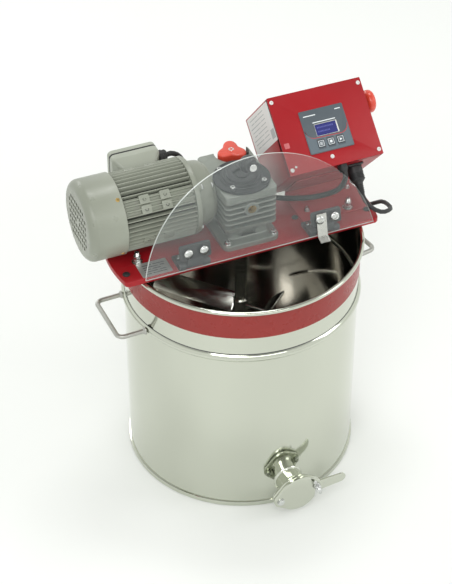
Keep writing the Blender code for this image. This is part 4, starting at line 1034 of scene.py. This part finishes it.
def cowl():
    paint = "motor_grey"
    c0, c1 = COWL_X
    sheet, bend = 1.2, 14
    outside = [(COWL_R, c1)] + [(b, a) for a, b in arc(c0 + bend, COWL_R - bend, bend, 90, 180, 14)]
    inside = [(0, c0), (0, c0 + sheet)]
    inside += [(b, a) for a, b in arc(c0 + bend, COWL_R - bend, bend - sheet, 180, 90, 14)]
    inside += [(COWL_R - sheet, c1)]
    slots = []
    across, up, half, reach = 9.2, 11.6, 3.2, 46
    for row in range(-4, 5):
        for column in range(-5, 6):
            b, c = column * across, row * up
            if 9 < hypot(b, c) < reach:
                slots.append(prism("cut", hull([(b, c - 0.9, half), (b, c + 0.9, half)], 12), c0 - 3, c0 + 6,
                    paint, **ON_MOTOR))
    shell = lathe("shell", outside + inside, paint, steps=96, cuts=[merge("cut", slots)], **ON_MOTOR)
    shell.data.materials.append(MATS["painted_shade_grey"])
    # Faces inside the cowl, behind its vents, get the painted shade colour
    for face in shell.data.polygons:
        spot = face.center / MM - MOTOR_AT
        r, x = hypot(spot.y, spot.z), face.center.x / MM
        if (x > c0 + bend and r < COWL_R - sheet / 2) or (x > c0 + sheet / 2 and r < COWL_R - bend):
            face.material_index = 1
    parts = [shell]
    for k in range(4):
        a = radians(36 + 90 * k)
        out = spoke(a, BACK, UP)
        side = RIGHT.cross(out)
        parts.append(head("cross", MOTOR_AT + out * (COWL_R - 1.2) + RIGHT * (c1 - 7), (side, RIGHT, out),
            3.7, 2.2, "brass"))
    stands_for(merge("motor_cowl", parts), "fan_cowl")


def terminal_box():
    near, far = low("terminal_cover"), high("terminal_cover")
    paint = "box_grey"
    y0 = MOTOR_AT.y + FRAME_R + GAP
    rim = rounded(near.x, near.z, far.x, far.z, 8, 10)
    seat = rounded(near.x + 14, near.z + 8, far.x - 14, far.z - 14, 8, 10)
    loops = [[(a, y, b) for a, b in ring] for ring, y in ((seat, y0 - 10), (seat, y0 + 6), (rim, near.y - 14),
        (rim, near.y - 1.9))]
    stands_for(loft("terminal_housing", loops, paint, bevel=1, segments=3), "terminal_box")
    lidded = prism("cover", rim, near.y, far.y, paint, turn=TURN_DEEP, bevel=2.2, segments=4)
    gasket = prism("gasket", rounded(near.x, near.z, far.x, far.z, 8, 10), near.y - 1.7, near.y + 1.2,
        "black_rubber", turn=TURN_DEEP)
    parts = [lidded, gasket]
    for x in (near.x + 8, far.x - 8):
        for z in (near.z + 8, far.z - 8):
            parts.append(head("cross", (x, far.y - 1.5, z), TURN_REAR, 3.6, 1.5, "zinc_steel"))
    stands_for(merge("terminal_lid", parts), "terminal_cover")
    g0, g1 = low("cable_gland"), high("cable_gland")
    at = (g0.x, (g0.y + g1.y) / 2, (g0.z + g1.z) / 2)
    stands_for(lathe("gland", [(0, 0), (11.6, 0), (11.6, 0.8), (10.6, 1, 6), (10.6, 6.6, 6), (9.4, 7.2),
        (9.2, 8), (9.6, 8.4, 6), (9.6, 13, 6), (8, 14.4), (6.4, 15.4), (5.2, 15.7), (0, 15.7)],
        "black_rubber", turn=TURN_X, at=at, steps=48, angle=25), "cable_gland")


# ---------------------------------------------------------------- stirrer

def stirrer():
    steel = "blade_steel"
    shaft = lathe("shaft", [(0, 4), (SHAFT_R - 1, 4), (SHAFT_R, 5), (SHAFT_R, 469), (SHAFT_R - 1.4, 471),
        (9, 474), (9, 549.4), (8.4, 550), (0, 550)], steel, steps=64)
    stands_for(shaft, "stirrer_shaft")
    stands_for(lathe("foot_bearing", [(SHAFT_R + GAP, 1.5), (21.5, 1.5), (22, 2), (20.6, 12.6), (19.4, 14),
        (SHAFT_R + GAP, 14)], "white_plastic", steps=64), "foot_bush")
    for level, twist in (("upper", 0), ("middle", 90), ("lower", 0)):
        node = f"paddle_{level}"
        z = middle(node).z
        parts = [lathe("sleeve", [(SHAFT_R + GAP, z - 15), (SHAFT_R + 2, z - 15), (SHAFT_R + 2.5, z - 14.5),
            (SHAFT_R + 2.5, z + 14.5), (SHAFT_R + 2, z + 15), (SHAFT_R + GAP, z + 15)], steel, steps=64)]
        for turn in (0, 180):
            a, pitch = radians(-48.5 + twist + turn), radians(-45)
            out = spoke(a)
            wide = Vector((-sin(a), cos(a), 0)) * cos(pitch) + UP * sin(pitch)
            blade = rounded(SHAFT_R + 1.2, -18, 165, 18, 5)
            parts.append(prism("blade", blade, -1.5, 1.5, steel, turn=(out, wide, out.cross(wide)),
                at=(0, 0, z), bevel=0.5))
        stands_for(merge(f"{node}_blades", parts), node)
    plain = {"rotor": "brushed_steel", "cooling_fan": "dark_plastic", "worm": "zinc_steel",
        "worm_wheel": "bronze", "output_bearing": "brushed_steel", "stator_core": "copper",
        "controller_board": "board_green"}
    for node, name in plain.items():
        ob = frame["nodes"][node]
        ob.data.materials.clear()
        ob.data.materials.append(MATS[name])


# ---------------------------------------------------------------- control box

def box_point(x, w, out):
    return Vector((x, BOX_EDGE.y, BOX_EDGE.z)) + BOX_TURN[1] * w + BOX_TURN[2] * out


def control_box():
    red = "red_paint"
    x0, x1 = BOX_LOW.x, BOX_LOW.x + BOX_WIDE
    sheet = 1.5
    outer = rounded(x0, 0, x1, BOX_SLOPE, 1.6, 4)
    inner = rounded(x0 + sheet, sheet, x1 - sheet, BOX_SLOPE - sheet, 1, 4)
    front = PANEL_T + GAP

    def loop(points, depth):
        return [box_point(a, b, -depth) for a, b in points]

    stop_at = box_point(x1, BOX_SLOPE - 35, -45)
    sideways = (BOX_TURN[1], BOX_TURN[2], RIGHT)
    hole = disc("cut", 9.2, -12, 12, red, turn=sideways, at=stop_at, steps=40)
    shell = loft("shell", [loop(inner, BOX_DEPTH - sheet), loop(inner, front), loop(outer, front),
        loop(outer, BOX_DEPTH)], red, cuts=[hole], bevel=1, segments=3)
    edge = rounded(x0 + 0.4, 0.4, x1 - 0.4, BOX_SLOPE - 0.4, 1.4, 4)
    lip = loft("lip", [loop(outer, front + 0.2), loop(outer, front + 7), loop(edge, front + 7.2),
        loop(edge, front)], red, closed=True)
    collar = lathe("collar", [(9.3, 0.1), (17, 0.1), (17, 1.6), (15.5, 3.6), (13.5, 4.6), (9.3, 4.6)],
        "print_grey", turn=sideways, at=stop_at, steps=64)
    stands_for(merge("control_enclosure", [shell, lip, collar]), "control_box")

    keys = (("program", 145.2), ("stop", 162.9), ("start", 180.6))
    row = 41

    def key_holes():
        return [prism("cut", square(x, row, KEY_HALF + 0.5, 1, 3), -6, 6, red, **ON_PANEL) for _, x in keys]

    panel = prism("panel", outer, -PANEL_T, 0, red, **ON_PANEL, cuts=key_holes(), bevel=0.5)
    parts = [panel]
    for x, w in ((x0 + 6, BOX_SLOPE - 9), (x1 - 6, BOX_SLOPE - 9), (x1 - 6, 9), (x0 + 6, 9), (x0 + 81, 16)):
        parts.append(head("cross", box_point(x, w, 0), BOX_TURN, 3.6, 1.9, "bright_screw"))
    parts.append(head("dome", box_point(x0 + 14, 13, 0), BOX_TURN, 2.2, 1.2, "zinc_steel"))
    stands_for(merge("front_panel", parts), "control_panel")

    pad = rounded(121.5, 26, 201.5, 100.5, 2, 6)
    parts = [prism("overlay", pad, GAP, 1, "overlay_grey", **ON_PANEL, cuts=key_holes(), bevel=0.25)]
    curve = arc(138.5, 66.5, 15, 180, 270, 12) + arc(185, 65, 14.5, 270, 360, 12)
    parts.append(prism("zone", rounded(123, 27.5, 200, 31.5, 1.2, 4), *ZONE_PRINT, "overlay_light",
        **ON_PANEL))
    lower = [(123, 49.5), (123, 66.5)] + curve + [(200, 65), (200, 49.5)]
    parts.append(prism("zone", lower, *ZONE_PRINT, "overlay_light", **ON_PANEL))
    for x in (123, 151.9, 169.6, 187.3):
        wide = {123: 15.6, 187.3: 12.7}.get(x, 4.2)
        parts.append(tile("zone", x, 31.5, x + wide, 49.5, *ZONE_PRINT, "overlay_light"))
    # The display's faint emission is a painted glow
    window = [prism("bezel", rounded(142, 53.8, 183, 75, 1, 5), 1, 1.25, "label_silver", **ON_PANEL,
        bevel=0.1), prism("lcd", rounded(142.6, 54.4, 180.6, 73.6, 0.8, 4), 1.25, 1.45, "lcd_blue",
        **ON_PANEL)]
    for line, cells in ((68.5, 12), (61.5, 9)):
        for k in range(cells):
            x = 146 + k * 2.45
            window.append(tile("cell", x, line - 1.5, x + 1.6, line + 1, 1.45, 1.5, "lcd_pale"))
    for w, start, end in ((90, 128, 150), (77, 141, 182), (92, 186, 196)):
        window.append(tile("print", start, w, end, w + 1.6, 1, 1.08, "print_white"))
    stripe = curve + [(a - 0.5, b + 1) for a, b in reversed(curve)]
    window.append(prism("stripe", stripe, 1, 1.2, "print_red", **ON_PANEL))
    stands_for(merge("keypad_overlay", parts + window), "keypad")

    for tag, x in keys:
        parts = [prism("key", square(x, row, KEY_HALF, 1, 5), -3, 1.75, "key_grey", **ON_PANEL, bevel=0.4,
            segments=3)]
        for a0, b0, a1, b1 in ((-5, 4.3, 5, 5), (-5, -5, 5, -4.3), (-5, -4.3, -4.3, 4.3),
                (4.3, -4.3, 5, 4.3)):
            parts.append(tile("line", x + a0, row + b0, x + a1, row + b1, *KEY_PRINT, "print_white"))
        icons = {"program": [(-2.6, 1.4, 2.6, 2.2), (-2.6, -0.4, 2.6, 0.4), (-2.6, -2.2, 2.6, -1.4)],
            "stop": [(-2.2, -2.2, 2.2, 2.2)], "start": []}[tag]
        for a0, b0, a1, b1 in icons:
            parts.append(tile("icon", x + a0, row + b0, x + a1, row + b1, *KEY_PRINT, "print_white"))
        if tag == "start":
            parts.append(prism("icon", [(x - 1.8, row - 2.6), (x + 2.8, row),
                (x - 1.8, row + 2.6)], *KEY_PRINT, "print_white", **ON_PANEL))
        stands_for(merge(f"{tag}_key", parts), f"key_{tag}")

    button = lathe("button", [(0, -9), (8.6, -9), (8.6, 13.2), (13, 13.6), (16.4, 14.8), (18.8, 17.2),
        (19.9, 20.6), (19.9, 23.6), (19.2, 26.2), (17.2, 28.4), (13.5, 30), (9, 30.7), (4, 30.9), (0, 31)],
        "signal_red", turn=sideways, at=stop_at, steps=80)
    parts = [button]
    for k in range(3):
        a = 2 * pi * k / 3
        marks = arc(0, 0, 14.6, 0, 62, 10) + arc(0, 0, 12.8, 62, 0, 10)
        turned = (sideways[0] * cos(a) + sideways[1] * sin(a), -sideways[0] * sin(a) + sideways[1] * cos(a),
            RIGHT)
        parts.append(prism("mark", marks, 29, 30.05, "print_white", turn=turned, at=stop_at))
    stands_for(merge("stop_mushroom", parts), "estop_button")
    labels(x0)

    near = [(-27, BEAM_TOP + GAP), (52, BEAM_TOP + GAP)]
    low_back = box_point(0, 0, -BOX_DEPTH + 6) - BOX_UP * GAP
    low_front = box_point(0, 0, -BOX_DEPTH + 74) - BOX_UP * GAP
    under = low_front - BOX_UP * 2
    elbow = low_back - BOX_UP * 2
    near += [(low_back.y, low_back.z), (low_front.y, low_front.z), (under.y, under.z),
        (elbow.y - 1, elbow.z - 1), (48, BEAM_TOP + GAP + 2), (-27, BEAM_TOP + GAP + 2)]
    hole = disc("cut", 9.5, 440, 456, red, at=(STUD_X, STUD_Y, 0), steps=40)
    stands_for(prism("box_support", near, low("box_bracket").x, high("box_bracket").x, red, turn=TURN_X,
        cuts=[hole], bevel=0.6), "box_bracket")


def tile(name, x0, w0, x1, w1, start, end, mat, turn=BOX_TURN, at=BOX_EDGE):
    """A thin rectangle on the front panel, or on another face."""
    return block(name, (x0, w0, start), (x1, w1, end), mat, turn=turn, at=at)


def labels(x0):
    """Plain printed labels with lines instead of words, on the box's left side."""
    turn = (-BOX_TURN[2], BOX_TURN[1], -RIGHT)
    at = box_point(x0, 0, 0)
    parts = [prism("label", rounded(5, 66, 120, 133, 1.5), 0.1, 0.35, "label_white", turn=turn, at=at)]
    parts.append(tile("patch", 9, 72, 26, 88, *LABEL_PRINT, "print_pale", turn, at))
    for k in range(8):
        w = 125 - k * 7
        for start, end in (((34, 62), (66, 108)), ((34, 84), (88, 104)), ((34, 54), (58, 112)))[k % 3]:
            parts.append(tile("line", start, w, end, w + 1.6, *LABEL_PRINT, "print_pale", turn, at))
    parts.append(prism("sticker", rounded(x0 + 5, 46, x0 + 14, 55, 1), 0.1, 0.3, "sticker_pink", **ON_PANEL))
    belongs(merge("box_labels", parts), "machine")


# ---------------------------------------------------------------- cords

def underside(x, depth, out):
    return box_point(x, 0, -depth) - BOX_UP * out


def cord_line():
    """The mains cord's centreline: down the machine's right side, then four turns of coil."""
    start = underside(*INLET, CONNECTOR_LONG + GAP)
    route = [start, start - BOX_UP * 6, (206, -53, 483), (214, -61, 474), (233, -62, 462), (258, -43, 450),
        (262, -8, 439), (255, 13, 423), (246, 38, 403), (238, 74, 382), (224, 112, 355), (209, 144, 320),
        (200, 160, 270), (195, 172, 200), (190, 183, 120), (190, 179, 51), (173.5, 198, 16), (149, 235, 5)]
    cx, cy = COIL_AT.x, COIL_AT.y
    arrival = radians(26)
    along = Vector((-sin(arrival), cos(arrival), 0))
    outer = COIL_MEAN_R + 8
    end = Vector((cx, cy, 4.2)) + spoke(arrival) * (outer + GAP + CORD_R)
    free = smooth_route(route + [end - along * 50, end - along * 14, end], 12)
    coil = []
    per_turn = 28
    far_ring, near_ring = COIL_MEAN_R + 4.1, COIL_MEAN_R - 4.1
    low_z, high_z = 4.2, 11.9
    stages = ((far_ring, low_z), (near_ring, low_z), (near_ring, high_z), (far_ring, high_z))
    total = 4 * per_turn + round(per_turn * 64 / 360)
    for k in range(1, total + 1):
        turn = k / per_turn
        a = arrival + 2 * pi * turn
        stage = min(3, int(turn))
        r, z = stages[stage]
        if stage == 0:
            blend = min(1, turn / 0.35)
            r += (1 - blend * blend * (3 - 2 * blend)) * (outer + GAP + CORD_R - far_ring)
        part = turn - int(turn)
        if stage < 3 and part > 0.7:
            mix = (part - 0.7) / 0.3
            mix = mix * mix * (3 - 2 * mix)
            r += (stages[stage + 1][0] - r) * mix
            z += (stages[stage + 1][1] - z) * mix
        coil.append(Vector((cx + r * cos(a), cy + r * sin(a), z)))
    plug = middle("mains_plug")
    back = high("mains_plug").x
    last = coil[-1]
    tail = []
    for k in range(1, 9):
        t = k / 8
        mix = t * t * (3 - 2 * t)
        tail.append(Vector((last.x + (back + 1 - last.x) * t, last.y + (plug.y - last.y) * mix, last.z
            + (18.9 - last.z) * mix)))
    return free + coil + tail


def cables():
    black = "black_rubber"
    down = (RIGHT, BOX_TURN[2], -BOX_UP)
    below = {"turn": down, "at": underside(*INLET, 0)}
    line = cord_line()
    cord = tube("mains_lead", line, CORD_R, black, 5)
    stands_for(cord, "mains_cord", "cord_coil")

    inlet = [prism("frame", rounded(-15, -13, 15, 13, 3), 0.3, 3.6, black, **below, bevel=0.8, segments=3)]
    inlet.append(lathe("rim", [(0, 3.6), (14.2, 3.6), (13.6, 4.2), (0, 4.2)], black, **below))
    stands_for(merge("inlet_socket", inlet), "mains_inlet")
    sleeve = [(0, 4.3), (12, 4.3), (13.2, 5.4), (13.5, 8), (13.2, 16)]
    for k in range(4):
        sleeve += [(13.2, 16.4 + k * 2.6), (12.3, 16.8 + k * 2.6), (12.3, 18 + k * 2.6),
            (13.2, 18.4 + k * 2.6)]
    sleeve += [(12.6, 28), (9.4, 31), (7.4, 33)]
    for k in range(5):
        r = 7 - 0.42 * k
        sleeve += [(r, 34 + k * 3.6), (r, 35.9 + k * 3.6), (r - 1, 36.3 + k * 3.6), (r - 1, 37.2 + k * 3.6)]
    sleeve += [(4.6, CONNECTOR_LONG), (0, CONNECTOR_LONG)]
    connector = lathe("lead_connector", sleeve, black, **below, steps=48, angle=25)
    stands_for(connector, "cord_connector")

    near, far = low("mains_plug"), high("mains_plug")
    plug_at = (far.x, (near.y + far.y) / 2, (near.z + far.z) / 2)
    shape = [(0, 0), (4.6, 0), (5, 0.8)]
    for k in range(4):
        r = 5.3 + 0.4 * k
        shape += [(r, 2 + k * 3.4), (r, 4 + k * 3.4), (r - 0.9, 4.3 + k * 3.4), (r - 0.9, 5.1 + k * 3.4)]
    shape += [(7.6, 17), (11, 20), (15.6, 24), (17.6, 28), (18.3, 32), (18.5, 36), (18.5, 49), (17.6, 50),
        (15.4, 50), (15.2, 46), (0, 46)]
    plug = lathe("lead_plug", shape, black, turn=TURN_LEFT, at=plug_at, steps=56, angle=25)
    pins = []
    for side in (-9.5, 9.5):
        pins.append(lathe("pin", [(0, 45), (2.4, 45), (2.4, 49), (1.6, 50), (0, 50)], "zinc_steel",
            turn=TURN_LEFT, at=Vector(plug_at) + BACK * side, steps=24))
    plug = merge("lead_plug", [plug] + pins)
    stands_for(plug, "mains_plug")

    g1 = high("cable_gland")
    gland = Vector((g1.x + GAP, 137, 537))
    entry = underside(*LEAD_IN, GAP)
    route = [gland, gland + Vector((9, 0, 0)), (-56, 138, 528), (-46, 137, 510), (-34, 129, 490),
        (-12, 112, 475), (22, 91, 467), (58, 62, 464), (92, 32, 468), (125, 6, 477), (152, -12, 489),
        (168, -26, 506), entry - BOX_UP * 20, entry]
    lead = rod("lead", smooth_route(route, 7), 4.5, black, 6)
    nut = lathe("nut", [(4.4, 0.2), (9.5, 0.2, 6), (9.5, 5, 6), (8.4, 6), (7.6, 9), (6.2, 12), (4.4, 12)],
        black, turn=down, at=underside(*LEAD_IN, 0), steps=48, angle=25)
    stands_for(merge("motor_lead", [lead, nut]), "motor_cable")


def build():
    studio()
    cables()
    drum()
    honey_gate()
    beam()
    lid()
    gearbox()
    motor()
    stirrer()
    control_box()


build()
